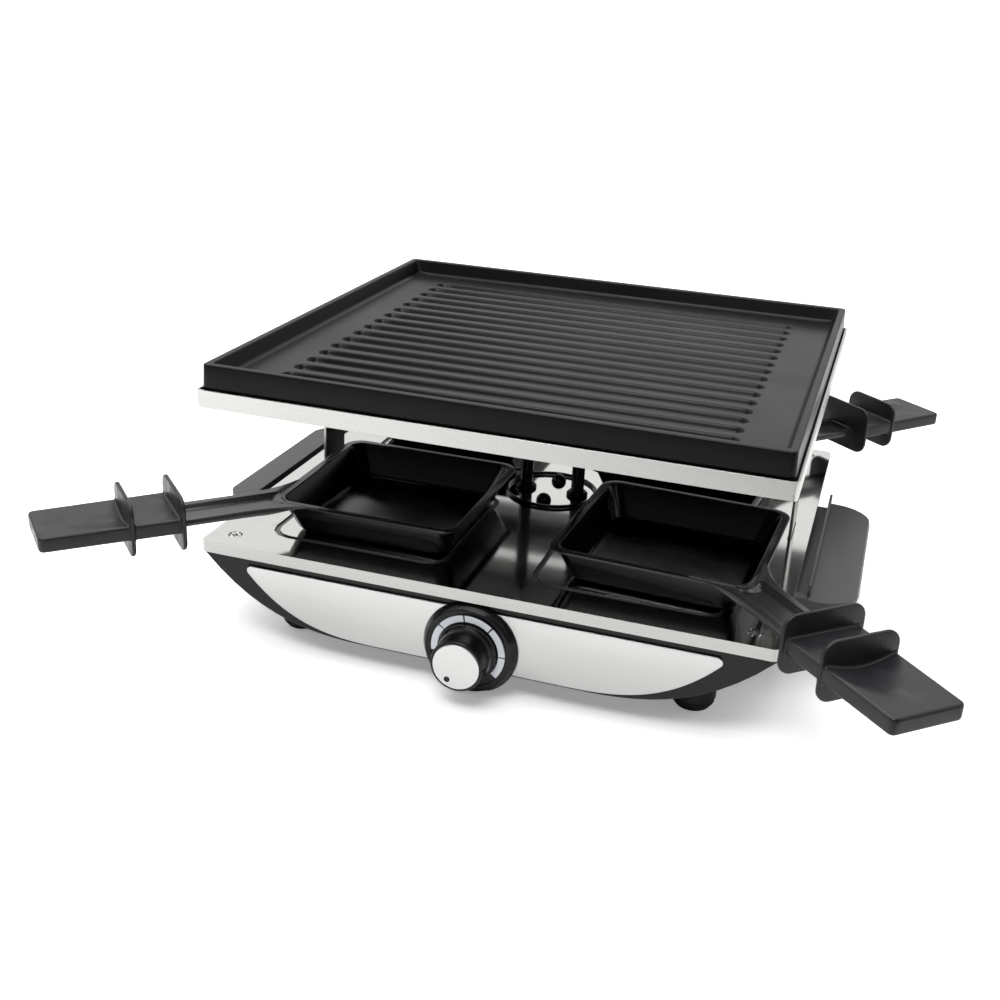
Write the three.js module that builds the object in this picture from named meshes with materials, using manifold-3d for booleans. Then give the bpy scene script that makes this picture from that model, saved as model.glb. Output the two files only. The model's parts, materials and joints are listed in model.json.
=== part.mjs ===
// Table raclette grill for four people: a ribbed cast grill plate on a steel heater housing, two side
// columns, a boat-shaped plastic base with a steel top plate, a thermostat knob and four small pans.
// Units are millimetres, +Z is up, the front (the knob) faces -Y, and the origin lies on the table
// under the middle of the base. Heights that start with "z" are measured from the table.
import * as THREE from "three";
import { mergeVertices } from "three/addons/utils/BufferGeometryUtils.js";
import Module from "manifold-3d";

const wasm = await Module();
wasm.setup();

// Clearances and shared values
const clearance = 0.3; // between two pieces that touch on the real object
const overrun = 1; // how far a cutter reaches past the face it opens
const bite = 0.4; // how deep two bodies of one piece run into each other
const roundSteps = 16; // sides of a round piece that shows
const bossSteps = 12; // sides of a hidden or very small one
const knobSteps = 28;
const cornerSteps = 3; // steps in a rounded corner

// Grill plate
const plateEndInset = 4; // the plate ends this far in from the shell's end, on each side
const plateDepth = 269;
const zPlateTop = 147.5;
const rimHeight = 11.9;
const rimFlare = 0.6; // the rim grows this much towards its foot, on each side
const rimThickness = 3.7;
const rimCornerRadius = 3;
const rimEdgeRound = 0.6;
const plateFloorDepth = 8.5; // from the rim's top down to the grilling surface
const plateFloorThickness = 5.6;
const plateWallSlope = 1.6; // how far the inner wall leans in on its way down
const plateWallFoot = 1.8; // the soft foot between the inner wall and the grilling surface
const plateBodyCornerRadius = 6;
const plateBodyInset = 7; // the sunk part of the plate, in from the rim's outside
const grooveCount = 16; // cut side by side into the grilling surface, so that ribs stay between them
const groovePitch = 14.15;
const grooveEndInset = 27; // from the plate's end
const grooveWidth = 9.8;
const grooveFloorWidth = 6;
const grooveDepth = 3;
const grooveEndSlope = 2;
const smallCornerSteps = 1;
const plateStudDiameter = 8;
const plateStudInset = 14; // from the housing's outside to the middle of a stud

// Heater housing: a folded steel frame
const housingReach = 2.6; // how far the band stands out past the foot of the rim's top edge
const bandHeight = 8.8;
const housingSheet = 1.2;
const housingFlange = 24;
const housingCornerRadius = 2.6;
const zHousing = zPlateTop - rimHeight - clearance - bandHeight; // underside of the housing

// Heating element, its straps and the two sleeved legs
const elementDiameter = 5.6;
const elementEndInset = 45; // from the plate's end to the middle of the tube
const elementSideInset = 48.5; // from the plate's front or rear
const elementBend = 16;
const elementBendSteps = 4;
const elementSides = 8;
const legSpacing = 30;
const legBend = 8;
const strapWidth = 12;
const strapSheet = 1.2;
const strapPlace = 52; // of each strap, in front of and behind the middle
const strapOverlap = 8; // of a strap under the housing's flange
const sleeveDiameter = 7.2;
const sleeveWall = 0.5;
const grommetFlangeDiameter = 12;
const grommetFlangeHeight = 2.4;
const grommetWall = 1;
const legCollarDiameter = 52; // flat ring on the base top plate, round both legs and the domed screws
const legCollarWidth = 1.8;
const legCollarHeight = 1.5;

// Columns that carry the housing
const columnInset = 8.5; // from the shell's end to the outer face of the web
const columnSheet = 1.6;
const columnWidth = 25;
const columnFlange = 15;
const columnGusset = 6;
const columnScrewDiameter = 3;
const columnScrewHeadDiameter = 6;
const columnScrewHeadHeight = 1.8;

// Base top plate
const topPlateReachX = 0.5; // past the shell's end
const topPlateReachY = 3; // past the shell's front or rear
const zTopPlate = 55.4;
const topPlateSheet = 1.2;
const topPlateRim = 6.1;
const topPlateCornerRadius = 3;
const bayGrooveInset = 2; // outside of the pressed line that marks a pan's place, in from the pan's rim
const bayGrooveWidth = 3;
const bayGrooveDepth = 0.8;
const bayGrooveRadius = 12;
const bayGapX = 0.4; // between a leg sleeve and a pan that lies in its bay
const bayGapY = 18; // between the middle of the plate and such a pan
const plateScrewInsetX = 12.7; // from the plate's end
const plateScrewInsetY = 12.6; // from the plate's front or rear
const plateScrewDiameter = 3;
const plateScrewLength = 12;
const plateScrewHeadDiameter = 6.8;
const plateScrewHeadHeight = 1.1;
const plateScrewCupDepth = 1.7; // the sheet is pressed down round each screw, so pans slide over it
const crossSlotWidth = 1;
const crossSlotLength = 3.8;
const crossSlotDepth = 0.8;
const domeScrewPlace = 15.5; // in front of and behind the middle
const domeScrewHeadDiameter = 8.4;
const domeScrewLength = 11;

// Base shell, shaped like a boat
const hullHalfLength = 144;
const hullHalfDepth = 133;
const zHullBottom = 12;
const zHullShoulder = 47.3; // where the curved bottom meets the upright end
const hullFlatHalf = 50; // the bottom is flat out to here, then rises
const hullRisePower = 2.8;
const hullRiseSteps = 12;
const hullWall = 2.6;
const hullEdgeRound = 1; // of the front and rear edges
const hullRoundSteps = 2;
const hullCollarInset = 2; // the top of the shell tucks in under the plate's folded rim
const screwBossDiameter = 9;
const screwBossDepth = 12;
const pedestalWidth = 20;
const pedestalDepth = 24;
const coverWidth = 88;
const coverDepth = 150;
const coverSheet = 2;
const coverCornerRadius = 5;
const coverLip = 16; // overlap of the cover and the shell's floor
const coverScrewInset = 8;
const coverScrewDiameter = 3;
const coverScrewHeadDiameter = 6;
const coverScrewHeadHeight = 1.6;
const coverScrewLength = 6;
const coverBossHeight = 8;
const ventCount = 6;
const ventPitch = 14;
const ventWidth = 4;
const ventLength = 46;
const footInsetX = 39; // from the shell's end
const footInsetY = 31; // from the shell's front or rear
const footDiameter = 21;
const footHeight = 5;
const footStemDiameter = 6;
const footStemLength = 7;
const footBossDiameter = 22;
const footEdge = 2;

// Lens-shaped steel fascias let into the front and rear faces
const fasciaEndInset = 23.5; // from the shell's end to the fascia's tip
const zFasciaTop = 45.6;
const zFasciaTip = 42;
const zFasciaBottom = 13.2;
const fasciaFlatHalf = 44;
const fasciaRisePower = 3;
const fasciaRiseSteps = 12;
const fasciaSheet = 1.2;
const fasciaProud = 0.4;

// Side wings
const wingSpan = 30.3; // from the shell's end to the wing's outer edge
const wingHalfDepth = 66.5;
const wingCornerRadius = 20;
const zWingInner = 48.3;
const zWingOuter = 47.8;
const wingThicknessInner = 6.5;
const wingThicknessOuter = 4;
const wingRootInset = 5; // the wing starts this far inside the shell's end
const ridgeOffset = 7.3; // from the shell's end to the outer face of the upstanding ridge
const ridgeSheet = 1.4;
const zRidge = 54.5;
const ridgeFront = 62;
const ridgeRear = 65;
const channelFloorDrop = 3;
const channelEndLift = 0.5;

// Thermostat, bezel, dial and knob, on an axis that runs front to back
const zKnob = 24.8;
const bezelBackRadius = 25.2;
const bezelFrontRadius = 22;
const bezelProud = 4.2;
const bezelEdgeRound = 0.8;
const zBezelCut = 2.2;
const bezelBore = 5;
const dialInnerRadius = 15.4;
const dialOuterRadius = 19.1;
const dialThickness = 0.6;
const dialStart = THREE.MathUtils.degToRad(-60);
const dialSweep = THREE.MathUtils.degToRad(240);
const dialSteps = 24;
const knobSkirtRadius = 14.8;
const knobNeckRadius = 13.4;
const knobNoseRadius = 12.6;
const knobLength = 15.6;
const knobSkirtLength = 2.2;
const knobEdgeRound = 0.7;
const knobGap = 0.6; // between the knob's skirt and the bezel
const capRadius = 11.6;
const capThickness = 1.3;
const capRecess = 0.9;
const capDotPlace = 8.2;
const capDotDiameter = 2.2;
const capDotDepth = 0.5;
const capDotAngle = THREE.MathUtils.degToRad(240);
const shaftDiameter = 6;
const shaftFlat = 1.2;
const shaftInKnob = 9;
const thermostatWidth = 26;
const thermostatHeight = 26;
const thermostatDrop = 8.8; // from the shaft down to the body's underside
const thermostatLength = 17;
const bushDiameter = 9;
const bushLength = 3;
const bracketWidth = 40;
const bracketHeight = 27;
const bracketSheet = 1.4;
const bracketScrewPlace = 15.5;
const bracketBossDiameter = 6;

// Terminal block, wires and cord gland, all in the base
const blockWidth = 52;
const blockDepth = 44;
const blockHeight = 14;
const glandDiameter = 16;
const glandBore = 7;
const glandFlange = 2;
const glandNeckDiameter = 11;
const glandLength = 14;
const zGland = 29;
const glandPlace = 70;
const wireDiameter = 2.4;
const wireSides = 6;
const wireLead = 12; // straight run at each end
const wireBend = 8;

// Pans
const panPlay = 0.9; // a pan is this much smaller than the space between a leg sleeve and a column's flange
const panHeight = 18.8;
const panSheet = 1.2;
const panLip = 3;
const panCornerRadius = 10;
const panWallLean = 7;
const zPanBottom = zTopPlate + clearance;
const shankHalfWidth = 12;
const shankSheet = 1.3;
const shankEdgeDrop = 3;
const shankChannelHalf = 8.4;
const shankChannelFloorHalf = 7;
const shankChannelDepth = 3;
const shankRise = 1; // top of the shank over the rim
const flareInset = 0.5; // the shank's flare starts this far inside half a pan's size from the pan's middle
const flareStartSide = 21.2;
const flareControlOffset = 9.5;
const flareEndOffset = 39.5;
const flareSteps = 8;
const shankInnerOffset = 7.5;
const shankLength = 27; // from the end of the flare to the grip
const tangHalfWidth = 8;
const tangThickness = 2.4;
const tangLength = 33; // of the shank inside the grip
const gripLength = 67.5;
const gripHalfWidthStart = 18.8;
const gripHalfWidthEnd = 17.6;
const gripThickness = 7.6;
const gripRise = 24; // top of the grip over the base top plate
const gripEdgeRound = 1.4;
const gripEndRadius = 3;
const finThickness = 2.2;
const finRadius = 7;
const finLow = 6.5; // over the base top plate
const finHigh = 34.5;
const innerFinHalfWidth = 20.8;
const outerFinHalfWidth = 19.2;
const finSpacing = 24;
const dipReach = 33; // the thumb dip runs this far out from the outer fin
const dipHalfWidth = 14;
const dipDepth = 2;
const dipSteps = 14;
const dipBall = 3; // the ball that cuts the dip is this many times deeper than the dip
const frontLeftShiftX = -4.5; // a pan lies this far outwards from the middle of its bay
const frontLeftShiftY = -1.5;
const frontRightShiftX = 12.5;
const frontRightShiftY = -0.5;
const rearRightShiftX = -0.5;
const rearRightShiftY = -23;
const rearLeftShiftX = 6.17;
const rearLeftShiftY = 5.52;

// Worked out widths and places
const plateWidth = 2 * (hullHalfLength - plateEndInset);
const grooveLength = plateWidth - 2 * grooveEndInset;
const elementHalfWidth = plateWidth / 2 - elementEndInset;
const elementHalfDepth = plateDepth / 2 - elementSideInset;
const columnPlace = hullHalfLength - columnInset;
const topPlateWidth = 2 * (hullHalfLength + topPlateReachX);
const topPlateDepth = 2 * (hullHalfDepth + topPlateReachY);
const plateScrewPlaceX = topPlateWidth / 2 - plateScrewInsetX;
const plateScrewPlaceY = topPlateDepth / 2 - plateScrewInsetY;
const footPlaceX = hullHalfLength - footInsetX;
const footPlaceY = hullHalfDepth - footInsetY;
const fasciaHalfLength = hullHalfLength - fasciaEndInset;
const wingReach = hullHalfLength + wingSpan;
const wingRoot = hullHalfLength - wingRootInset;
const ridgePlace = hullHalfLength + ridgeOffset;
const sleeveEdge = legSpacing / 2 + sleeveDiameter / 2;
const panSize = columnPlace - columnFlange - sleeveEdge - panPlay;
const bayPlaceX = sleeveEdge + panSize / 2 + bayGapX;
const bayPlaceY = panSize / 2 + bayGapY;
const bayGrooveSize = panSize - 2 * bayGrooveInset;
const flareStart = panSize / 2 - flareInset;
const flareControl = panSize / 2 + flareControlOffset;
const flareEnd = panSize / 2 + flareEndOffset;
const shankInner = panSize / 2 + shankInnerOffset;
const gripStart = flareEnd + shankLength;
const gripEnd = gripStart + gripLength;
const tangEnd = gripStart + tangLength;
const outerFinPlace = gripStart + finSpacing;

// Pans: place of each pan's middle and the turn of its handle, in degrees from +X
const pans = [
  {
    name: "front_left",
    x: -(bayPlaceX + frontLeftShiftX),
    y: -(bayPlaceY + frontLeftShiftY),
    handle: 225,
  },
  {
    name: "front_right",
    x: bayPlaceX + frontRightShiftX,
    y: -(bayPlaceY + frontRightShiftY),
    handle: 312,
  },
  {
    name: "rear_right",
    x: bayPlaceX + rearRightShiftX,
    y: bayPlaceY + rearRightShiftY,
    handle: 48,
  },
  {
    name: "rear_left",
    x: -(bayPlaceX + rearLeftShiftX),
    y: bayPlaceY + rearLeftShiftY,
    handle: 135,
  },
];

// Worked out heights
const zRimFoot = zPlateTop - rimHeight;
const zPlateFloor = zPlateTop - plateFloorDepth;
const zPlateUnderside = zPlateFloor - plateFloorThickness;
const zHousingTop = zHousing + bandHeight;
const zStrapTop = zHousing - clearance;
const zElement = zStrapTop + clearance + elementDiameter / 2;
const zTopPlateUnder = zTopPlate - topPlateSheet;
const zFlangeFoot = zTopPlate - topPlateRim;
const zHullTop = zTopPlateUnder - clearance;
const zBlockTop = zTopPlateUnder - clearance;
const yHullFront = -hullHalfDepth;
const yBezelBack = yHullFront - fasciaProud - clearance;
const yBezelFront = yBezelBack - bezelProud;
const yKnobBack = yBezelFront - knobGap;
const yKnobFront = yKnobBack - knobLength;
const zPanRim = zPanBottom + panHeight;
const zShankTop = zPanRim + shankRise;
const zGripTop = zTopPlate + gripRise;

// Materials
const finish = (color, roughness, metalness) =>
  new THREE.MeshStandardMaterial({ color, roughness, metalness });
const brushedSteel = finish(0xc9c7c0, 0.32, 1);
const mirrorSteel = finish(0xbdbcb8, 0.16, 1);
const dullSteel = finish(0x8f9091, 0.45, 1);
const castCoating = finish(0x26272a, 0.42, 0);
const panCoating = finish(0x101113, 0.22, 0);
const blackPlastic = finish(0x2b2d2f, 0.5, 0);
const glossPlastic = finish(0x17181a, 0.3, 0);
const greyPlastic = finish(0x3b3d3f, 0.48, 0);
const dialPrint = finish(0xa9b3c4, 0.4, 0);
const silverCap = finish(0xe4e4e2, 0.28, 0.6);
const rubber = finish(0x141414, 0.8, 0);
const wireSleeving = finish(0x8a5a3c, 0.6, 0);

// A closed geometry as a solid that can be joined and cut, and back again.
function solid(geometry) {
  const bare = geometry.index ? geometry.toNonIndexed() : geometry.clone();
  bare.deleteAttribute("normal");
  bare.deleteAttribute("uv");
  const merged = mergeVertices(bare, 1e-4);
  return new wasm.Manifold(
    new wasm.Mesh({
      numProp: 3,
      vertProperties: merged.attributes.position.array,
      triVerts: new Uint32Array(merged.index.array),
    }),
  );
}

function geometryOf(body) {
  const mesh = body.getMesh();
  const geometry = new THREE.BufferGeometry();
  geometry.setAttribute("position", new THREE.BufferAttribute(mesh.vertProperties, 3));
  geometry.setIndex(new THREE.BufferAttribute(mesh.triVerts, 1));
  geometry.computeVertexNormals();
  return geometry;
}

const join = (first, ...others) => others.reduce((sum, body) => sum.add(body), first);
const cut = (first, ...others) => others.reduce((rest, body) => rest.subtract(body), first);

// Boxes and cylinders between stated limits.
function box(x0, x1, y0, y1, z0, z1) {
  const geometry = new THREE.BoxGeometry(x1 - x0, y1 - y0, z1 - z0);
  geometry.translate((x0 + x1) / 2, (y0 + y1) / 2, (z0 + z1) / 2);
  return solid(geometry);
}

function upright(x, y, diameter, z0, z1, steps = roundSteps) {
  const geometry = new THREE.CylinderGeometry(diameter / 2, diameter / 2, z1 - z0, steps);
  geometry.rotateX(Math.PI / 2);
  geometry.translate(x, y, (z0 + z1) / 2);
  return solid(geometry);
}

function frontToBack(x, z, diameter, y0, y1, steps = roundSteps) {
  const geometry = new THREE.CylinderGeometry(diameter / 2, diameter / 2, y1 - y0, steps);
  geometry.translate(x, (y0 + y1) / 2, z);
  return solid(geometry);
}

// A profile of [radius, height] points spun round an upright axis, or round the knob's axis, where the
// second number is the distance towards the front.
function spinUp(x, y, profile, steps = roundSteps) {
  const geometry = new THREE.LatheGeometry(profile.map(([r, z]) => new THREE.Vector2(r, z)), steps);
  geometry.rotateX(Math.PI / 2);
  geometry.translate(x, y, 0);
  return solid(geometry);
}

function spinForward(z, profile, steps = roundSteps) {
  const geometry = new THREE.LatheGeometry(profile.map(([r, y]) => new THREE.Vector2(r, y)), steps);
  geometry.rotateX(Math.PI);
  geometry.translate(0, 0, z);
  return solid(geometry);
}

// Outlines
function roundedRectangle(width, depth, radius, steps = cornerSteps) {
  const points = [];
  const corners = [
    [width / 2 - radius, depth / 2 - radius, 0],
    [radius - width / 2, depth / 2 - radius, 1],
    [radius - width / 2, radius - depth / 2, 2],
    [width / 2 - radius, radius - depth / 2, 3],
  ];
  for (const [x, y, quarter] of corners) {
    for (let i = 0; i <= steps; i++) {
      const angle = ((quarter + i / steps) * Math.PI) / 2;
      points.push(new THREE.Vector2(x + radius * Math.cos(angle), y + radius * Math.sin(angle)));
    }
  }
  return points;
}

function prism(points, z0, z1) {
  const geometry = new THREE.ExtrudeGeometry(new THREE.Shape(points), {
    depth: z1 - z0,
    bevelEnabled: false,
  });
  geometry.translate(0, 0, z0);
  return solid(geometry);
}

// An outline in the XZ plane carried from y0 to y1.
function prismAlongY(points, y0, y1) {
  const geometry = new THREE.ExtrudeGeometry(new THREE.Shape(points), {
    depth: y1 - y0,
    bevelEnabled: false,
  });
  geometry.rotateX(Math.PI / 2);
  geometry.translate(0, y1, 0);
  return solid(geometry);
}

// A body lofted through rings of equally many points; each ring is [outline, height].
function loft(rings) {
  const count = rings[0][0].length;
  const position = [];
  const index = [];
  for (const [outline, z] of rings) {
    for (const p of outline) position.push(p.x, p.y, z);
  }
  for (let level = 0; level + 1 < rings.length; level++) {
    for (let i = 0; i < count; i++) {
      const a = level * count + i;
      const b = level * count + ((i + 1) % count);
      index.push(a, b, b + count, a, b + count, a + count);
    }
  }
  const top = (rings.length - 1) * count;
  for (const [a, b, c] of THREE.ShapeUtils.triangulateShape(rings[0][0], [])) {
    index.push(a, c, b);
  }
  for (const [a, b, c] of THREE.ShapeUtils.triangulateShape(rings.at(-1)[0], [])) {
    index.push(top + a, top + b, top + c);
  }
  const geometry = new THREE.BufferGeometry();
  geometry.setAttribute("position", new THREE.Float32BufferAttribute(position, 3));
  geometry.setIndex(index);
  return solid(geometry);
}

// A curve through stations that are spaced as given, so that a straight run needs one step only.
class StationCurve extends THREE.Curve {
  constructor(stations) {
    super();
    this.stations = stations;
  }

  getPoint(t, target = new THREE.Vector3()) {
    const place = t * (this.stations.length - 1);
    const i = Math.min(Math.floor(place), this.stations.length - 2);
    return target.copy(this.stations[i]).lerp(this.stations[i + 1], place - i);
  }

  getPointAt(t, target) {
    return this.getPoint(t, target);
  }

  getTangentAt(t, target = new THREE.Vector3()) {
    const last = this.stations.length - 1;
    const i = Math.round(t * last);
    const before = this.stations[Math.max(i - 1, 0)];
    const here = this.stations[i];
    const after = this.stations[Math.min(i + 1, last)];
    const into = here.clone().sub(before).normalize();
    const out = after.clone().sub(here).normalize();
    return target.copy(into).add(out).normalize();
  }
}

// A round tube through stations.
function tube(stations, diameter, sides) {
  const section = new THREE.Shape();
  section.absarc(0, 0, diameter / 2, 0, 2 * Math.PI, false);
  const geometry = new THREE.ExtrudeGeometry(section, {
    steps: stations.length - 1,
    curveSegments: sides / 2,
    extrudePath: new StationCurve(stations),
    bevelEnabled: false,
  });
  return solid(geometry);
}

// The stations of straight runs through the given points, with each corner rounded by its radius.
function roundedRoute(points, radii) {
  const stations = [points[0]];
  for (let i = 1; i + 1 < points.length; i++) {
    const corner = points[i];
    const into = points[i - 1].clone().sub(corner).normalize();
    const out = points[i + 1].clone().sub(corner).normalize();
    const before = corner.clone().addScaledVector(into, radii[i - 1]);
    const after = corner.clone().addScaledVector(out, radii[i - 1]);
    const bend = new THREE.QuadraticBezierCurve3(before, corner, after);
    stations.push(...bend.getPoints(elementBendSteps));
  }
  stations.push(points.at(-1));
  return stations;
}

const object = new THREE.Group();

function addPiece(name, body, material, group = object) {
  const mesh = new THREE.Mesh(geometryOf(body), material);
  mesh.name = name;
  group.add(mesh);
}

// Grill plate: raised rim, grilling surface with grooves parallel to the front edge, and four studs below.
function grillPlate() {
  const rim = loft([
    [
      roundedRectangle(
        plateWidth + 2 * rimFlare,
        plateDepth + 2 * rimFlare,
        rimCornerRadius + rimFlare,
      ),
      zRimFoot,
    ],
    [roundedRectangle(plateWidth, plateDepth, rimCornerRadius), zPlateTop - rimEdgeRound],
    [
      roundedRectangle(
        plateWidth - 2 * rimEdgeRound,
        plateDepth - 2 * rimEdgeRound,
        rimCornerRadius - rimEdgeRound,
      ),
      zPlateTop,
    ],
  ]);
  const sunkWidth = plateWidth - 2 * plateBodyInset;
  const sunkDepth = plateDepth - 2 * plateBodyInset;
  const sunk = prism(
    roundedRectangle(sunkWidth, sunkDepth, plateBodyCornerRadius),
    zPlateUnderside,
    zRimFoot + bite,
  );
  const openWidth = plateWidth - 2 * rimThickness;
  const openDepth = plateDepth - 2 * rimThickness;
  const wallFootIn = plateWallSlope + plateWallFoot;
  const pocket = loft([
    [
      roundedRectangle(openWidth - 2 * wallFootIn, openDepth - 2 * wallFootIn, rimCornerRadius),
      zPlateFloor,
    ],
    [
      roundedRectangle(
        openWidth - 2 * plateWallSlope,
        openDepth - 2 * plateWallSlope,
        rimCornerRadius,
      ),
      zPlateFloor + plateWallFoot,
    ],
    [roundedRectangle(openWidth, openDepth, rimCornerRadius), zPlateTop],
    [roundedRectangle(openWidth, openDepth, rimCornerRadius), zPlateTop + overrun],
  ]);
  let plate = cut(join(rim, sunk), pocket);
  for (let i = 0; i < grooveCount; i++) {
    const y = (i - (grooveCount - 1) / 2) * groovePitch;
    const mouth = roundedRectangle(
      grooveLength,
      grooveWidth,
      grooveWidth / 2 - bite,
      smallCornerSteps,
    );
    const bottom = roundedRectangle(
      grooveLength - 2 * grooveEndSlope,
      grooveFloorWidth,
      grooveFloorWidth / 2 - bite,
      smallCornerSteps,
    );
    const groove = loft([
      [bottom, zPlateFloor - grooveDepth],
      [mouth, zPlateFloor],
      [mouth, zPlateFloor + overrun],
    ]);
    plate = plate.subtract(groove.translate([0, y, 0]));
  }
  const studX = plateWidth / 2 + housingReach - plateStudInset;
  const studY = plateDepth / 2 + housingReach - plateStudInset;
  for (const sx of [-1, 1]) {
    for (const sy of [-1, 1]) {
      const zFoot = zHousing + housingSheet + clearance;
      plate = plate.add(
        upright(sx * studX, sy * studY, plateStudDiameter, zFoot, zPlateUnderside + bite),
      );
    }
  }
  return plate;
}

// Heater housing: an upright band with a flange folded inwards at its foot.
function heaterHousing() {
  const width = plateWidth + 2 * housingReach;
  const depth = plateDepth + 2 * housingReach;
  const outside = prism(roundedRectangle(width, depth, housingCornerRadius), zHousing, zHousingTop);
  const inside = prism(
    roundedRectangle(
      width - 2 * housingSheet,
      depth - 2 * housingSheet,
      housingCornerRadius - housingSheet,
    ),
    zHousing + housingSheet,
    zHousingTop + overrun,
  );
  const mouth = prism(
    roundedRectangle(width - 2 * housingFlange, depth - 2 * housingFlange, housingCornerRadius),
    zHousing - overrun,
    zHousing + housingSheet + overrun,
  );
  const screwX = columnPlace - columnFlange / 2;
  const bore = columnScrewDiameter + 2 * clearance;
  return cut(
    outside,
    inside,
    mouth,
    upright(screwX, 0, bore, zHousing - overrun, zHousing + housingSheet + overrun),
    upright(-screwX, 0, bore, zHousing - overrun, zHousing + housingSheet + overrun),
  );
}

// Tubular heating element: one loop under the grill plate, whose two ends meet at the middle and run
// down through the sleeves into the terminal block.
function heatingElement() {
  const leg = legSpacing / 2;
  const zEnd = zBlockTop - blockHeight / 2;
  const at = (x, y, z) => new THREE.Vector3(x, y, z);
  const points = [
    at(-leg, 0, zEnd),
    at(-leg, 0, zElement),
    at(-leg, -elementHalfDepth, zElement),
    at(-elementHalfWidth, -elementHalfDepth, zElement),
    at(-elementHalfWidth, elementHalfDepth, zElement),
    at(elementHalfWidth, elementHalfDepth, zElement),
    at(elementHalfWidth, -elementHalfDepth, zElement),
    at(leg, -elementHalfDepth, zElement),
    at(leg, 0, zElement),
    at(leg, 0, zEnd),
  ];
  const bend = elementBend;
  const radii = [legBend, bend, bend, bend, bend, bend, bend, legBend];
  return tube(roundedRoute(points, radii), elementDiameter, elementSides);
}

// A flat strap across the housing's mouth; the element rests on it.
function elementStrap(side) {
  const halfMouth = plateWidth / 2 + housingReach - housingFlange;
  const y = side * strapPlace;
  return box(
    -halfMouth - strapOverlap,
    halfMouth + strapOverlap,
    y - strapWidth / 2,
    y + strapWidth / 2,
    zStrapTop - strapSheet,
    zStrapTop,
  );
}

// Thin tube round a leg of the element, from the terminal block up to the element's bend.
function legSleeve(side) {
  const x = (side * legSpacing) / 2;
  const z0 = zBlockTop + clearance;
  const z1 = zElement - legBend - elementDiameter / 2;
  const bore = sleeveDiameter - 2 * sleeveWall;
  return cut(
    upright(x, 0, sleeveDiameter, z0, z1),
    upright(x, 0, bore, z0 - overrun, z1 + overrun),
  );
}

// Grommet that seats a sleeve in the base top plate.
function legGrommet(side) {
  const bore = sleeveDiameter / 2 + clearance;
  const neck = bore + grommetWall;
  const z0 = zTopPlateUnder;
  const z1 = zTopPlate + clearance;
  return spinUp((side * legSpacing) / 2, 0, [
    [bore, z0],
    [neck, z0],
    [neck, z1],
    [grommetFlangeDiameter / 2, z1],
    [grommetFlangeDiameter / 2, z1 + grommetFlangeHeight / 2],
    [neck, z1 + grommetFlangeHeight],
    [bore, z1 + grommetFlangeHeight],
    [bore, z0],
  ]);
}

// Collar: the flat ring that lies on the base top plate round both legs.
function legCollar() {
  const outside = legCollarDiameter / 2;
  const inside = outside - legCollarWidth;
  const z0 = zTopPlate + clearance;
  const z1 = z0 + legCollarHeight;
  return spinUp(
    0,
    0,
    [
      [inside, z0],
      [outside, z0],
      [outside, z1 - bite],
      [outside - bite, z1],
      [inside + bite, z1],
      [inside, z1 - bite],
      [inside, z0],
    ],
    knobSteps,
  );
}

// Side column: an upright steel web with a flange under the housing and a foot inside the base.
function sideColumn(side) {
  const outer = columnPlace;
  const inner = columnPlace - columnSheet;
  const zTop = zHousing - clearance;
  const zFoot = zFlangeFoot - columnSheet;
  const half = columnWidth / 2;
  const web = box(inner, outer, -half, half, zFoot, zTop);
  const head = box(outer - columnFlange, outer, -half, half, zTop - columnSheet, zTop);
  const foot = box(outer - columnFlange, outer, -half, half, zFoot, zFoot + columnSheet);
  const gusset = prismAlongY(
    [
      new THREE.Vector2(inner + bite, zTop - bite),
      new THREE.Vector2(inner - columnGusset, zTop - bite),
      new THREE.Vector2(inner + bite, zTop - columnGusset - columnSheet),
    ],
    half - columnSheet,
    half,
  );
  const bore = columnScrewDiameter + 2 * clearance;
  const hole = upright(
    outer - columnFlange / 2,
    0,
    bore,
    zTop - columnSheet - overrun,
    zTop + overrun,
  );
  const column = cut(join(web, head, foot, gusset), hole);
  return side > 0 ? column : column.mirror([1, 0, 0]);
}

// Screw that ties a column's flange to the housing, its head underneath.
function columnScrew(side) {
  const x = side * (columnPlace - columnFlange / 2);
  const zHead = zHousing - clearance - columnSheet - clearance;
  const radius = columnScrewHeadDiameter / 2;
  return spinUp(x, 0, [
    [0, zHead - columnScrewHeadHeight],
    [radius - columnScrewHeadHeight / 2, zHead - columnScrewHeadHeight],
    [radius, zHead - columnScrewHeadHeight / 2],
    [radius, zHead],
    [columnScrewDiameter / 2, zHead],
    [columnScrewDiameter / 2, zHousing + housingSheet + columnScrewHeadHeight],
    [0, zHousing + housingSheet + columnScrewHeadHeight],
  ], bossSteps);
}

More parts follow.
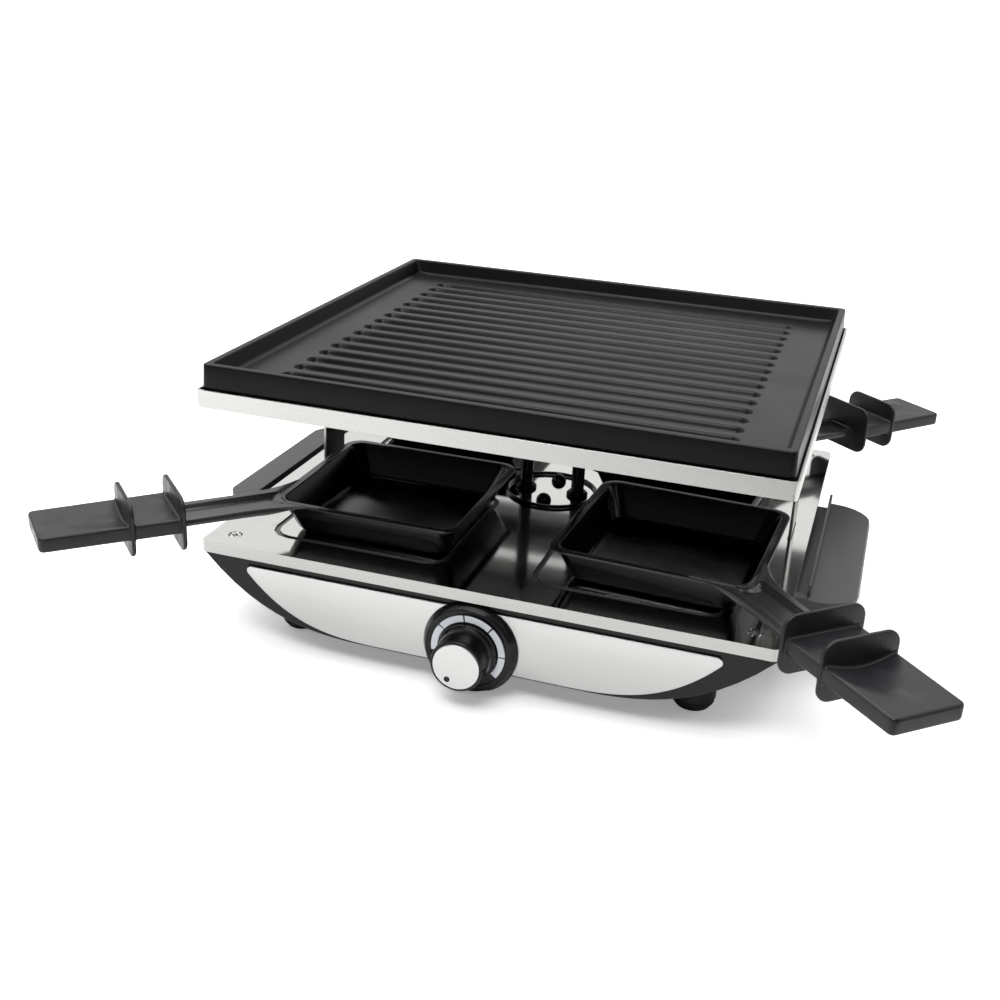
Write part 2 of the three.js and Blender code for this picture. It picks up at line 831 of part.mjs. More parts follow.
// Base top plate: mirror-bright sheet with a folded rim, four pressed outlines that mark the pans'
// places, slots for the columns and holes for the legs and screws.
function baseTopPlate() {
  const outline = (inset) =>
    roundedRectangle(
      topPlateWidth - 2 * inset,
      topPlateDepth - 2 * inset,
      topPlateCornerRadius - inset,
      cornerSteps + 2,
    );
  let plate = cut(
    prism(outline(0), zFlangeFoot, zTopPlate),
    prism(outline(topPlateSheet), zFlangeFoot - overrun, zTopPlateUnder),
  );
  const groove = cut(
    prism(
      roundedRectangle(bayGrooveSize, bayGrooveSize, bayGrooveRadius),
      zTopPlate - bayGrooveDepth,
      zTopPlate + overrun,
    ),
    prism(
      roundedRectangle(
        bayGrooveSize - 2 * bayGrooveWidth,
        bayGrooveSize - 2 * bayGrooveWidth,
        bayGrooveRadius - bayGrooveWidth,
      ),
      zTopPlate - bayGrooveDepth - overrun,
      zTopPlate + 2 * overrun,
    ),
  );
  const z0 = zTopPlateUnder - overrun;
  const z1 = zTopPlate + overrun;
  const slotHalf = columnWidth / 2 + clearance;
  for (const sx of [-1, 1]) {
    const slotX0 = sx * columnPlace - (sx > 0 ? columnSheet : 0) - clearance;
    const slotX1 = sx * columnPlace + (sx > 0 ? 0 : columnSheet) + clearance;
    plate = plate.subtract(box(slotX0, slotX1, -slotHalf, slotHalf, z0, z1));
    const neck = sleeveDiameter + 2 * (2 * clearance + grommetWall);
    plate = plate.subtract(upright((sx * legSpacing) / 2, 0, neck, z0, z1));
    const bore = plateScrewDiameter + 2 * clearance;
    plate = plate.subtract(upright(0, sx * domeScrewPlace, bore, z0, z1));
    for (const sy of [-1, 1]) {
      plate = plate.subtract(groove.translate([sx * bayPlaceX, sy * bayPlaceY, 0]));
      const x = sx * plateScrewPlaceX;
      const y = sy * plateScrewPlaceY;
      const zCup = zTopPlate - plateScrewCupDepth;
      const cupInside = plateScrewHeadDiameter + 2 * clearance;
      const cupOutside = cupInside + 2 * topPlateSheet;
      plate = cut(
        plate.add(upright(x, y, cupOutside, zCup - topPlateSheet, zTopPlate, bossSteps)),
        upright(x, y, cupInside, zCup, zTopPlate + overrun, bossSteps),
        upright(x, y, bore, zCup - topPlateSheet - overrun, zCup + overrun, bossSteps),
      );
    }
  }
  return plate;
}

// Cross-head screw with its head in a cup of the base top plate.
function plateScrew(x, y) {
  const radius = plateScrewHeadDiameter / 2;
  const z0 = zTopPlate - plateScrewCupDepth + clearance;
  const z1 = z0 + plateScrewHeadHeight;
  const screw = spinUp(x, y, [
    [0, z0 - plateScrewLength],
    [plateScrewDiameter / 2, z0 - plateScrewLength],
    [plateScrewDiameter / 2, z0],
    [radius, z0],
    [radius, z0 + plateScrewHeadHeight / 2],
    [radius - plateScrewHeadHeight / 2, z1],
    [0, z1],
  ], bossSteps);
  const w = crossSlotWidth / 2;
  const l = crossSlotLength / 2;
  return cut(
    screw,
    box(x - l, x + l, y - w, y + w, z1 - crossSlotDepth, z1 + overrun),
    box(x - w, x + w, y - l, y + l, z1 - crossSlotDepth, z1 + overrun),
  );
}

// Dome-head screw that holds the terminal block under the base top plate.
function domeScrew(side) {
  const radius = domeScrewHeadDiameter / 2;
  const z0 = zTopPlate + clearance;
  const profile = [
    [0, z0 - domeScrewLength],
    [plateScrewDiameter / 2, z0 - domeScrewLength],
    [plateScrewDiameter / 2, z0],
  ];
  for (let i = 0; i <= cornerSteps; i++) {
    const angle = ((i / cornerSteps) * Math.PI) / 2;
    profile.push([i < cornerSteps ? radius * Math.cos(angle) : 0, z0 + radius * Math.sin(angle)]);
  }
  return spinUp(0, side * domeScrewPlace, profile, bossSteps);
}

// The boat outline of the base in the XZ plane: a bottom that is flat in the middle and rises by a
// power curve to upright ends. Inset moves the ends inwards, lift raises the floor.
function boatOutline(inset, lift, zTop) {
  const half = hullHalfLength - inset;
  const z0 = zHullBottom + lift;
  const points = [new THREE.Vector2(half, zTop), new THREE.Vector2(-half, zTop)];
  for (let i = 0; i <= hullRiseSteps; i++) {
    const share = 1 - i / hullRiseSteps;
    const x = hullFlatHalf + (half - hullFlatHalf) * share;
    points.push(new THREE.Vector2(-x, z0 + (zHullShoulder - z0) * share ** hullRisePower));
  }
  for (let i = 0; i <= hullRiseSteps; i++) {
    const share = i / hullRiseSteps;
    const x = hullFlatHalf + (half - hullFlatHalf) * share;
    points.push(new THREE.Vector2(x, z0 + (zHullShoulder - z0) * share ** hullRisePower));
  }
  return points;
}

// The lens outline of a fascia, grown by a margin on all sides.
function lensOutline(margin) {
  const half = fasciaHalfLength + margin;
  const zTop = zFasciaTop + margin;
  const z0 = zFasciaBottom - margin;
  const points = [new THREE.Vector2(half - (zTop - zFasciaTip) / 2, zTop)];
  points.push(new THREE.Vector2((zTop - zFasciaTip) / 2 - half, zTop));
  for (const side of [-1, 1]) {
    for (let i = 0; i <= fasciaRiseSteps; i++) {
      const share = side < 0 ? 1 - i / fasciaRiseSteps : i / fasciaRiseSteps;
      const x = fasciaFlatHalf + (half - fasciaFlatHalf) * share;
      const z = z0 + (zFasciaTip - z0) * share ** fasciaRisePower;
      points.push(new THREE.Vector2(side * x, z));
    }
  }
  return points;
}

// Base shell: the hollow boat with bosses for screws, feet and columns inside and below.
function baseShell() {
  const y1 = hullHalfDepth;
  const rings = [];
  for (let i = 0; i <= hullRoundSteps; i++) {
    const angle = ((i / hullRoundSteps) * Math.PI) / 2;
    const inset = hullEdgeRound * (1 - Math.sin(angle));
    const y = y1 - hullEdgeRound * (1 - Math.cos(angle));
    rings.push([boatOutline(inset, inset, zFlangeFoot - clearance), y]);
  }
  const mirrored = rings.map(([outline, y]) => [outline, -y]);
  const hull = loft([...mirrored, ...rings.reverse()]).rotate([90, 0, 0]);
  const collarX = hullHalfLength - hullCollarInset;
  const collarY = hullHalfDepth - hullCollarInset;
  const collar = prism(
    roundedRectangle(2 * collarX, 2 * collarY, topPlateCornerRadius),
    zFlangeFoot - hullCollarInset,
    zHullTop,
  );
  const xWall = hullCollarInset + hullWall;
  const yWall = collarY - hullWall;
  const hollow = prismAlongY(boatOutline(xWall, hullWall, zHullTop + overrun), -yWall, yWall);
  let shell = cut(join(hull, collar), hollow);
  const inside = prismAlongY(boatOutline(xWall / 2, hullWall / 2, zHullTop), -yWall - bite, yWall + bite);
  const below = hull.subtract(hollow);
  for (const sx of [-1, 1]) {
    const pedestalInner = sx * (columnPlace - columnFlange - columnSheet);
    const pedestalOuter = pedestalInner + sx * pedestalWidth;
    const pedestal = box(
      Math.min(pedestalInner, pedestalOuter),
      Math.max(pedestalInner, pedestalOuter),
      -pedestalDepth / 2,
      pedestalDepth / 2,
      zHullBottom,
      zFlangeFoot - columnSheet - clearance,
    );
    shell = shell.add(pedestal.intersect(inside));
    for (const sy of [-1, 1]) {
      shell = screwBoss(shell, sx * plateScrewPlaceX, sy * plateScrewPlaceY, inside);
      shell = footBoss(shell, sx * footPlaceX, sy * footPlaceY, hollow);
    }
  }
  for (const [x, y] of coverScrewPlaces) {
    const z1 = zHullBottom + coverBossHeight;
    shell = shell.add(upright(x, y, screwBossDiameter, zHullBottom + bite, z1, bossSteps));
  }
  return cut(join(shell, ...bracketBosses()), ...shellCutters());
}

// A boss under a screw of the top plate, with room for the plate's cup above it.
function screwBoss(shell, x, y, inside) {
  const zBoss = zTopPlate - plateScrewCupDepth - topPlateSheet - clearance;
  const boss = upright(x, y, screwBossDiameter, zHullBottom, zBoss, bossSteps);
  const bore = plateScrewDiameter + 2 * clearance;
  const cup = plateScrewHeadDiameter + 2 * (topPlateSheet + 2 * clearance);
  return cut(
    shell.add(boss.intersect(inside)),
    upright(x, y, bore, zBoss - screwBossDepth, zBoss + overrun, bossSteps),
    upright(x, y, cup, zBoss, zHullTop + overrun, bossSteps),
  );
}

// A boss that reaches down from the curved bottom to a foot.
function footBoss(shell, x, y, hollow) {
  const z0 = footHeight + clearance;
  const boss = upright(x, y, footBossDiameter, z0, zHullShoulder, roundSteps);
  const bore = footStemDiameter + 2 * clearance;
  return cut(
    shell.add(boss.subtract(hollow)),
    upright(x, y, bore, z0 - overrun, z0 + footStemLength, bossSteps),
  );
}

// Two bosses behind the front wall that the thermostat's bracket is screwed to.
function bracketBosses() {
  const y0 = yHullFront + hullCollarInset + hullWall - bite;
  const y1 = y0 + bite + bushLength;
  return [-1, 1].map((sx) =>
    frontToBack(sx * bracketScrewPlace, zKnob, bracketBossDiameter, y0, y1, bossSteps),
  );
}

const coverScrewPlaces = [-1, 1].flatMap((sx) =>
  [-1, 1].map((sy) => [
    sx * (coverWidth / 2 - coverScrewInset),
    sy * (coverDepth / 2 - coverScrewInset),
  ]),
);

// What is cut out of the shell: fascia recesses, knob and gland openings, the mouth under the cover
// and the bores of the cover's screws.
function shellCutters() {
  const recess = fasciaSheet - fasciaProud + clearance;
  const lens = lensOutline(clearance);
  const front = prismAlongY(lens, yHullFront - overrun, yHullFront + recess);
  const rear = prismAlongY(lens, hullHalfDepth - recess, hullHalfDepth + overrun);
  const wall = hullCollarInset + hullWall + overrun;
  const knobHole = frontToBack(
    0,
    zKnob,
    bushDiameter + 2 * clearance,
    yHullFront - overrun,
    yHullFront + wall,
    bossSteps,
  );
  const glandHole = frontToBack(
    glandPlace,
    zGland,
    glandNeckDiameter + 2 * clearance,
    hullHalfDepth - wall,
    hullHalfDepth + overrun,
  );
  const mouth = prism(
    roundedRectangle(coverWidth - 2 * coverLip, coverDepth - 2 * coverLip, coverCornerRadius, smallCornerSteps),
    zHullBottom - overrun,
    zHullBottom + hullWall + overrun,
  );
  const bore = coverScrewDiameter + 2 * clearance;
  const screwHoles = coverScrewPlaces.map(([x, y]) =>
    upright(x, y, bore, zHullBottom - overrun, zHullBottom + coverScrewLength, bossSteps),
  );
  return [front, rear, knobHole, glandHole, mouth, ...screwHoles];
}

// Bottom cover with cooling slots, screwed flat against the shell's underside.
function bottomCover() {
  const z1 = zHullBottom - clearance;
  const z0 = z1 - coverSheet;
  let cover = prism(roundedRectangle(coverWidth, coverDepth, coverCornerRadius), z0, z1);
  const bore = coverScrewDiameter + 2 * clearance;
  for (const [x, y] of coverScrewPlaces) {
    cover = cover.subtract(upright(x, y, bore, z0 - overrun, z1 + overrun, bossSteps));
  }
  for (let i = 0; i < ventCount; i++) {
    const y = (i - (ventCount - 1) / 2) * ventPitch;
    const slot = prism(
      roundedRectangle(ventLength, ventWidth, ventWidth / 2 - bite / 2, smallCornerSteps),
      z0 - overrun,
      z1 + overrun,
    );
    cover = cover.subtract(slot.translate([0, y, 0]));
  }
  return cover;
}

function coverScrew([x, y]) {
  const zHead = zHullBottom - clearance - coverSheet - clearance;
  const radius = coverScrewHeadDiameter / 2;
  const zTip = zHullBottom + coverScrewLength - clearance;
  return spinUp(
    x,
    y,
    [
      [0, zHead - coverScrewHeadHeight],
      [radius - coverScrewHeadHeight / 2, zHead - coverScrewHeadHeight],
      [radius, zHead - coverScrewHeadHeight / 2],
      [radius, zHead],
      [coverScrewDiameter / 2, zHead],
      [coverScrewDiameter / 2, zTip],
      [0, zTip],
    ],
    bossSteps,
  );
}

// Rubber foot with a stem that plugs into its boss.
function foot(sx, sy) {
  const radius = footDiameter / 2;
  return spinUp(sx * footPlaceX, sy * footPlaceY, [
    [0, 0],
    [radius - footEdge, 0],
    [radius, footEdge],
    [radius, footHeight],
    [footStemDiameter / 2, footHeight],
    [footStemDiameter / 2, footHeight + footStemLength - clearance],
    [0, footHeight + footStemLength - clearance],
  ]);
}

// Fascias: the front lens has a hole for the shaft under the bezel, the rear one a hole for the gland.
function fascia(side, x, z, bore) {
  const outer = side * (hullHalfDepth + fasciaProud);
  const inner = outer - side * fasciaSheet;
  const y0 = Math.min(outer, inner);
  const y1 = Math.max(outer, inner);
  const hole = frontToBack(x, z, bore, y0 - overrun, y1 + overrun);
  return cut(prismAlongY(lensOutline(0), y0, y1), hole);
}

// Side wing: a sloping shelf with a thin upstanding ridge next to the base plate, and a channel
// between the two that is closed at the front.
function sideWing(side) {
  const ridgeInner = ridgePlace - ridgeSheet;
  const zChannel = zWingInner - channelFloorDrop;
  const edge = wingThicknessOuter / 2;
  const section = [
    new THREE.Vector2(wingRoot, zWingInner - wingThicknessInner),
    new THREE.Vector2(ridgePlace, zWingInner - wingThicknessInner),
    new THREE.Vector2(wingReach - edge, zWingOuter - wingThicknessOuter),
    new THREE.Vector2(wingReach, zWingOuter - edge),
    new THREE.Vector2(wingReach - edge / 2, zWingOuter),
    new THREE.Vector2(ridgePlace, zWingInner),
    new THREE.Vector2(ridgeInner, zWingInner),
    new THREE.Vector2(ridgeInner, zChannel),
    new THREE.Vector2(wingRoot, zChannel),
  ];
  const shelf = prismAlongY(section, -wingHalfDepth, wingHalfDepth);
  const ridge = box(ridgeInner, ridgePlace, -ridgeFront, ridgeRear, zChannel - bite, zRidge);
  const channelEnd = loft([
    [
      [
        new THREE.Vector2(wingRoot, -wingHalfDepth),
        new THREE.Vector2(ridgePlace - bite, -wingHalfDepth),
        new THREE.Vector2(ridgePlace - bite, -ridgeFront + ridgeSheet),
        new THREE.Vector2(wingRoot, -ridgeFront + 2 * ridgeSheet),
      ],
      zChannel - bite,
    ],
    [
      [
        new THREE.Vector2(wingRoot, -wingHalfDepth),
        new THREE.Vector2(ridgePlace - bite, -wingHalfDepth),
        new THREE.Vector2(ridgePlace - bite, -ridgeFront + ridgeSheet),
        new THREE.Vector2(wingRoot, -ridgeFront + 2 * ridgeSheet),
      ],
      zWingInner + channelEndLift,
    ],
  ]);
  const corner = wingCornerRadius;
  const plan = prism(
    roundedRectangle(2 * wingReach, 2 * wingHalfDepth, corner, 2 * cornerSteps),
    0,
    zRidge + overrun,
  );
  const hullRoom = prismAlongY(
    boatOutline(-clearance, -clearance, zFlangeFoot),
    -hullHalfDepth,
    hullHalfDepth,
  );
  const rimRoom = box(
    0,
    topPlateWidth / 2 + clearance,
    -hullHalfDepth,
    hullHalfDepth,
    zFlangeFoot - clearance,
    zRidge + overrun,
  );
  const wing = cut(join(shelf, ridge, channelEnd).intersect(plan), hullRoom, rimRoom);
  return side > 0 ? wing : wing.mirror([1, 0, 0]);
}

// Bezel: a flat cone on the front face, with a shallow track for the dial ring.
function bezel() {
  const y0 = -yBezelBack;
  const y1 = -yBezelFront;
  const track = y1 - dialThickness;
  const body = spinForward(
    zKnob,
    [
      [bezelBore, y0],
      [bezelBackRadius, y0],
      [bezelFrontRadius, y1 - bezelEdgeRound],
      [bezelFrontRadius - bezelEdgeRound, y1],
      [dialOuterRadius + clearance, y1],
      [dialOuterRadius + clearance, track],
      [dialInnerRadius - clearance, track],
      [dialInnerRadius - clearance, y1],
      [bezelBore, y1],
      [bezelBore, y0],
    ],
    knobSteps,
  );
  const below = box(
    -bezelBackRadius - overrun,
    bezelBackRadius + overrun,
    yBezelFront - overrun,
    yBezelBack + overrun,
    zKnob - bezelBackRadius - overrun,
    zBezelCut,
  );
  return cut(body, below);
}

// Dial ring: the pale arc round the knob, from nine o'clock over the top to five o'clock.
function dialRing() {
  const outline = [];
  for (let i = 0; i <= dialSteps; i++) {
    const angle = dialStart + (dialSweep * i) / dialSteps;
    outline.push(
      new THREE.Vector2(
        dialOuterRadius * Math.cos(angle),
        zKnob + dialOuterRadius * Math.sin(angle),
      ),
    );
  }
  for (let i = dialSteps; i >= 0; i--) {
    const angle = dialStart + (dialSweep * i) / dialSteps;
    outline.push(
      new THREE.Vector2(
        dialInnerRadius * Math.cos(angle),
        zKnob + dialInnerRadius * Math.sin(angle),
      ),
    );
  }
  const y1 = yBezelFront + dialThickness - clearance / 2;
  return prismAlongY(outline, y1 - dialThickness, y1);
}

// Knob: a skirt, a waisted cone and a recess for the cap; its bore takes the flatted shaft.
function knobBody() {
  const y0 = -yKnobBack;
  const y1 = -yKnobFront;
  const knob = spinForward(
    zKnob,
    [
      [0, y0],
      [knobSkirtRadius, y0],
      [knobSkirtRadius, y0 + knobSkirtLength - knobEdgeRound],
      [knobSkirtRadius - knobEdgeRound, y0 + knobSkirtLength],
      [knobNeckRadius, y0 + 2 * knobSkirtLength],
      [knobNoseRadius, y1 - knobEdgeRound],
      [knobNoseRadius - knobEdgeRound, y1],
      [capRadius + clearance, y1],
      [capRadius + clearance, y1 - capRecess],
      [0, y1 - capRecess],
    ],
    knobSteps,
  );
  const bore = shaft(clearance, yKnobBack - shaftInKnob, yKnobBack + overrun);
  return cut(knob, bore);
}

// The flatted shaft, or with a margin the bore that it runs in.
function shaft(margin, y0, y1) {
  const radius = shaftDiameter / 2 + margin;
  const rod = frontToBack(0, zKnob, 2 * radius, y0, y1);
  const zFlat = zKnob + radius - shaftFlat;
  return rod.subtract(
    box(-radius - overrun, radius + overrun, y0 - overrun, y1 + overrun, zFlat, zFlat + radius),
  );
}

// Cap: a silver disc with a small round mark near its edge.
function knobCap() {
  const y1 = -yKnobFront - capRecess + clearance;
  const cap = spinForward(
    zKnob,
    [
      [0, y1],
      [capRadius, y1],
      [capRadius, y1 + capThickness / 2],
      [capRadius - capThickness / 2, y1 + capThickness],
      [0, y1 + capThickness],
    ],
    knobSteps,
  );
  const mark = frontToBack(
    capDotPlace * Math.cos(capDotAngle),
    zKnob + capDotPlace * Math.sin(capDotAngle),
    capDotDiameter,
    -y1 - capThickness - overrun,
    -y1 - capThickness + capDotDepth,
    bossSteps,
  );
  return cut(cap, mark);
}

const yBracketFront = yHullFront + hullCollarInset + hullWall + bushLength + clearance;
const yThermostatFront = yBracketFront + bracketSheet + clearance;

// Thermostat: a block with a bush round the shaft, behind its bracket.
function thermostatBody() {
  const y0 = yThermostatFront;
  const y1 = y0 + thermostatLength;
  const z0 = zKnob - thermostatDrop;
  const half = thermostatWidth / 2;
  const body = box(-half, half, y0, y1, z0, z0 + thermostatHeight);
  const bush = frontToBack(0, zKnob, bushDiameter, y0 - bracketSheet - bushLength, y0 + bite);
  const bore = frontToBack(
    0,
    zKnob,
    shaftDiameter + 2 * clearance,
    y0 - bracketSheet - bushLength - overrun,
    y0 + thermostatLength / 2 + clearance,
  );
  return cut(join(body, bush), bore);
}

function thermostatBracket() {
  const y0 = yBracketFront;
  const y1 = y0 + bracketSheet;
  const z0 = zKnob - thermostatDrop;
  return cut(
    box(-bracketWidth / 2, bracketWidth / 2, y0, y1, z0, z0 + bracketHeight),
    frontToBack(0, zKnob, bushDiameter + 2 * clearance, y0 - overrun, y1 + overrun),
  );
}

// Terminal block: takes the element's two ends and the two dome-head screws.
function terminalBlock() {
  const z0 = zBlockTop - blockHeight;
  let block = box(
    -blockWidth / 2,
    blockWidth / 2,
    -blockDepth / 2,
    blockDepth / 2,
    z0,
    zBlockTop,
  );
  for (const side of [-1, 1]) {
    const legBore = elementDiameter + 2 * clearance;
    const screwBore = plateScrewDiameter + 2 * clearance;
    block = cut(
      block,
      upright((side * legSpacing) / 2, 0, legBore, zBlockTop - blockHeight / 2 - clearance, zBlockTop + overrun),
      upright(0, side * domeScrewPlace, screwBore, z0 + clearance, zBlockTop + overrun),
    );
  }
  return block;
}

// Cord gland in the rear wall, with its bore for the mains lead.
function cordGland() {
  const wallFace = hullHalfDepth + fasciaProud + clearance;
  const y1 = wallFace + glandFlange;
  const body = join(
    frontToBack(glandPlace, zGland, glandNeckDiameter, y1 - glandLength, y1),
    frontToBack(glandPlace, zGland, glandDiameter, wallFace, y1),
  );
  return cut(
    body,
    frontToBack(glandPlace, zGland, glandBore, y1 - glandLength - overrun, y1 + overrun),
  );
}

// A wire between two faces inside the base; it leaves both at a right angle.
function wire(from, to) {
  const lead = new THREE.Vector3(0, wireLead, 0);
  const route = [from, from.clone().add(lead), to.clone().sub(lead), to];
  return tube(roundedRoute(route, [wireBend, wireBend]), wireDiameter, wireSides);
}

function innerWires() {
  const zWire = zBlockTop - blockHeight / 2;
  const yBlock = blockDepth / 2 + clearance;
  const thermostatEnd = new THREE.Vector3(0, yThermostatFront + thermostatLength + clearance, zKnob);
  const glandEnd = new THREE.Vector3(
    glandPlace,
    hullHalfDepth + fasciaProud + clearance + glandFlange - glandLength - clearance,
    zGland,
  );
  addPiece(
    "thermostat_wire",
    wire(thermostatEnd, new THREE.Vector3(0, -yBlock, zWire)),
    wireSleeving,
  );
  addPiece("mains_wire", wire(new THREE.Vector3(0, yBlock, zWire), glandEnd), wireSleeving);
}

// A pan's pieces are made with the handle along +X and the pan's middle on the Z axis.
function panTray() {
  const lip = panLip;
  const half = panSize / 2;
  const wallTop = panSize - 2 * lip;
  const wallFoot = wallTop - 2 * panWallLean;
  const r = panCornerRadius;
  const turn = (outline) => outline.map((p) => p.clone().rotateAround(new THREE.Vector2(), Math.PI / 4));
  const square = (size, radius) => turn(roundedRectangle(size, size, radius));
  const shellOut = loft([
    [square(wallFoot, r - lip), zPanBottom],
    [square(wallTop, r - lip / 2), zPanRim],
  ]);
  const flange = prism(square(panSize, r), zPanRim - panSheet, zPanRim);
  const bend = shankHalfWidth - panSheet;
  const plan = [];
  for (let i = 0; i <= flareSteps; i++) {
    const t = i / flareSteps;
    const x = (1 - t) ** 2 * flareStart + 2 * t * (1 - t) * flareControl + t ** 2 * flareEnd;
    const y =
      (1 - t) ** 2 * flareStartSide + 2 * t * (1 - t) * shankHalfWidth + t ** 2 * shankHalfWidth;
    plan.push(new THREE.Vector2(x, y));
  }
  plan.push(new THREE.Vector2(gripStart, shankHalfWidth));
  const mirrored = plan.map((p) => new THREE.Vector2(p.x, -p.y)).reverse();
  const outline = [...mirrored, ...plan];
  const web = prism(outline, zPanRim - panSheet, zShankTop);
  const under = prism(
    [
      new THREE.Vector2(flareEnd, -bend),
      new THREE.Vector2(gripStart, -bend),
      new THREE.Vector2(gripStart, bend),
      new THREE.Vector2(flareEnd, bend),
    ],
    zShankTop - shankEdgeDrop,
    zPanRim,
  );
  const skirt = prism(
    [
      new THREE.Vector2(flareEnd - shankHalfWidth, -shankHalfWidth),
      new THREE.Vector2(gripStart, -shankHalfWidth),
      new THREE.Vector2(gripStart, shankHalfWidth),
      new THREE.Vector2(flareEnd - shankHalfWidth, shankHalfWidth),
    ],
    zShankTop - shankEdgeDrop,
    zShankTop,
  );
  const hollow = box(
    shankInner,
    gripStart + overrun,
    -bend,
    bend,
    zShankTop - shankEdgeDrop - overrun,
    zShankTop - shankSheet,
  );
  const channelSection = (grow, top) => [
    new THREE.Vector2(shankChannelFloorHalf + grow, zShankTop - shankChannelDepth - grow),
    new THREE.Vector2(shankChannelHalf + grow, top),
    new THREE.Vector2(-shankChannelHalf - grow, top),
    new THREE.Vector2(-shankChannelFloorHalf - grow, zShankTop - shankChannelDepth - grow),
  ];
  const alongX = (points, x0, x1) =>
    prismAlongY(points, x0, x1).rotate([0, 0, -90]);
  const channelWall = alongX(
    channelSection(shankSheet, zShankTop),
    flareEnd - 2 * shankHalfWidth,
    gripStart,
  );
  const channel = alongX(
    channelSection(0, zShankTop + overrun),
    flareEnd - 2 * shankHalfWidth + shankSheet,
    gripStart + overrun,
  );
  const tang = box(
    gripStart - shankSheet,
    tangEnd,
    -tangHalfWidth,
    tangHalfWidth,
    zShankTop - shankChannelDepth - shankSheet,
    zShankTop - shankChannelDepth - shankSheet + tangThickness,
  );
  const room = loft([
    [square(wallFoot - 2 * panSheet, r - lip), zPanBottom + panSheet],
    [square(wallTop - 2 * panSheet, r - lip / 2), zPanRim],
    [square(wallTop - 2 * panSheet, r - lip / 2), zShankTop + overrun],
  ]);
  const handle = cut(join(cut(join(web, skirt, under), hollow), channelWall), channel);
  return cut(join(shellOut, flange, handle, tang), room);
}

// Grip: a flat bar with a thumb dip and two upright guard fins, and a pocket for the tang.
function panGrip() {
  const z0 = zGripTop - gripThickness;
  const start = gripStart + clearance;
  const e = gripEdgeRound;
  const outline = (inset) => {
    const tip = gripEnd - inset;
    const wide = gripHalfWidthStart - inset;
    const narrow = gripHalfWidthEnd - inset;
    const r = gripEndRadius;
    const corner = (angle) =>
      new THREE.Vector2(tip - r + r * Math.cos(angle), narrow - r + r * Math.sin(angle));
    const side = [new THREE.Vector2(start, wide)];
    for (let i = cornerSteps; i >= 0; i--) side.push(corner(((i / cornerSteps) * Math.PI) / 2));
    const other = side.map((p) => new THREE.Vector2(p.x, -p.y)).reverse();
    return [...side, ...other].reverse();
  };
  const bar = loft([
    [outline(e), z0],
    [outline(0), z0 + e],
    [outline(0), zGripTop - e],
    [outline(e), zGripTop],
  ]);
  const fin = (place, halfWidth) => {
    const low = zTopPlate + finLow;
    const high = zTopPlate + finHigh;
    const face = roundedRectangle(2 * halfWidth, high - low, finRadius);
    return prism(face, 0, finThickness)
      .rotate([90, 0, 90])
      .translate([place, 0, (low + high) / 2]);
  };
  const dip = new THREE.SphereGeometry(1, dipSteps, dipSteps);
  dip.scale(dipReach * dipBall ** (1 / 2), dipHalfWidth * dipBall ** (1 / 2), dipDepth * dipBall);
  dip.translate(outerFinPlace, 0, zGripTop + dipDepth * (dipBall - 1));
  const dipRoom = box(
    outerFinPlace + bite,
    gripEnd + overrun,
    -outerFinHalfWidth,
    outerFinHalfWidth,
    z0,
    zGripTop + dipDepth * dipBall,
  );
  const floor = zShankTop - shankChannelDepth - shankSheet;
  const pocket = box(
    start - overrun,
    tangEnd + clearance,
    -tangHalfWidth - clearance,
    tangHalfWidth + clearance,
    floor - clearance,
    floor + tangThickness + clearance,
  );
  const dipped = cut(bar, solid(dip).intersect(dipRoom));
  return cut(
    join(dipped, fin(start, innerFinHalfWidth), fin(outerFinPlace, outerFinHalfWidth)),
    pocket,
  );
}

// Assembly: top unit
addPiece("grill_plate", grillPlate(), castCoating);
addPiece("heater_housing", heaterHousing(), brushedSteel);
addPiece("heating_element", heatingElement(), dullSteel);
addPiece("element_strap_front", elementStrap(-1), dullSteel);
addPiece("element_strap_rear", elementStrap(1), dullSteel);

// Assembly: what stands between the top unit and the base
for (const [side, word] of [
  [-1, "left"],
  [1, "right"],
]) {
  addPiece("leg_sleeve_" + word, legSleeve(side), blackPlastic);
  addPiece("leg_grommet_" + word, legGrommet(side), rubber);
  addPiece("side_column_" + word, sideColumn(side), brushedSteel);
  addPiece("column_screw_" + word, columnScrew(side), dullSteel);
  addPiece("side_wing_" + word, sideWing(side), greyPlastic);
}
addPiece("leg_collar", legCollar(), blackPlastic);

// Assembly: base
addPiece("base_top_plate", baseTopPlate(), mirrorSteel);
addPiece("base_shell", baseShell(), blackPlastic);
addPiece("bottom_cover", bottomCover(), blackPlastic);
const frontBore = 2 * bezelBore;
const rearBore = glandNeckDiameter + 2 * clearance;
addPiece("front_fascia", fascia(-1, 0, zKnob, frontBore), brushedSteel);
addPiece("rear_fascia", fascia(1, glandPlace, zGland, rearBore), brushedSteel);
addPiece("terminal_block", terminalBlock(), blackPlastic);
addPiece("cord_gland", cordGland(), blackPlastic);
addPiece("thermostat_body", thermostatBody(), dullSteel);
addPiece("thermostat_bracket", thermostatBracket(), dullSteel);
innerWires();
coverScrewPlaces.forEach((place, i) => addPiece("cover_screw_" + (i + 1), coverScrew(place), dullSteel));
for (const [sy, depthWord] of [
  [-1, "front"],
  [1, "rear"],
]) {
  addPiece("dome_screw_" + depthWord, domeScrew(sy), glossPlastic);
  for (const [sx, sideWord] of [
    [-1, "left"],
    [1, "right"],
  ]) {
    const corner = depthWord + "_" + sideWord;
    const screw = plateScrew(sx * plateScrewPlaceX, sy * plateScrewPlaceY);
    addPiece("plate_screw_" + corner, screw, dullSteel);
    addPiece("foot_" + corner, foot(sx, sy), rubber);
  }
}

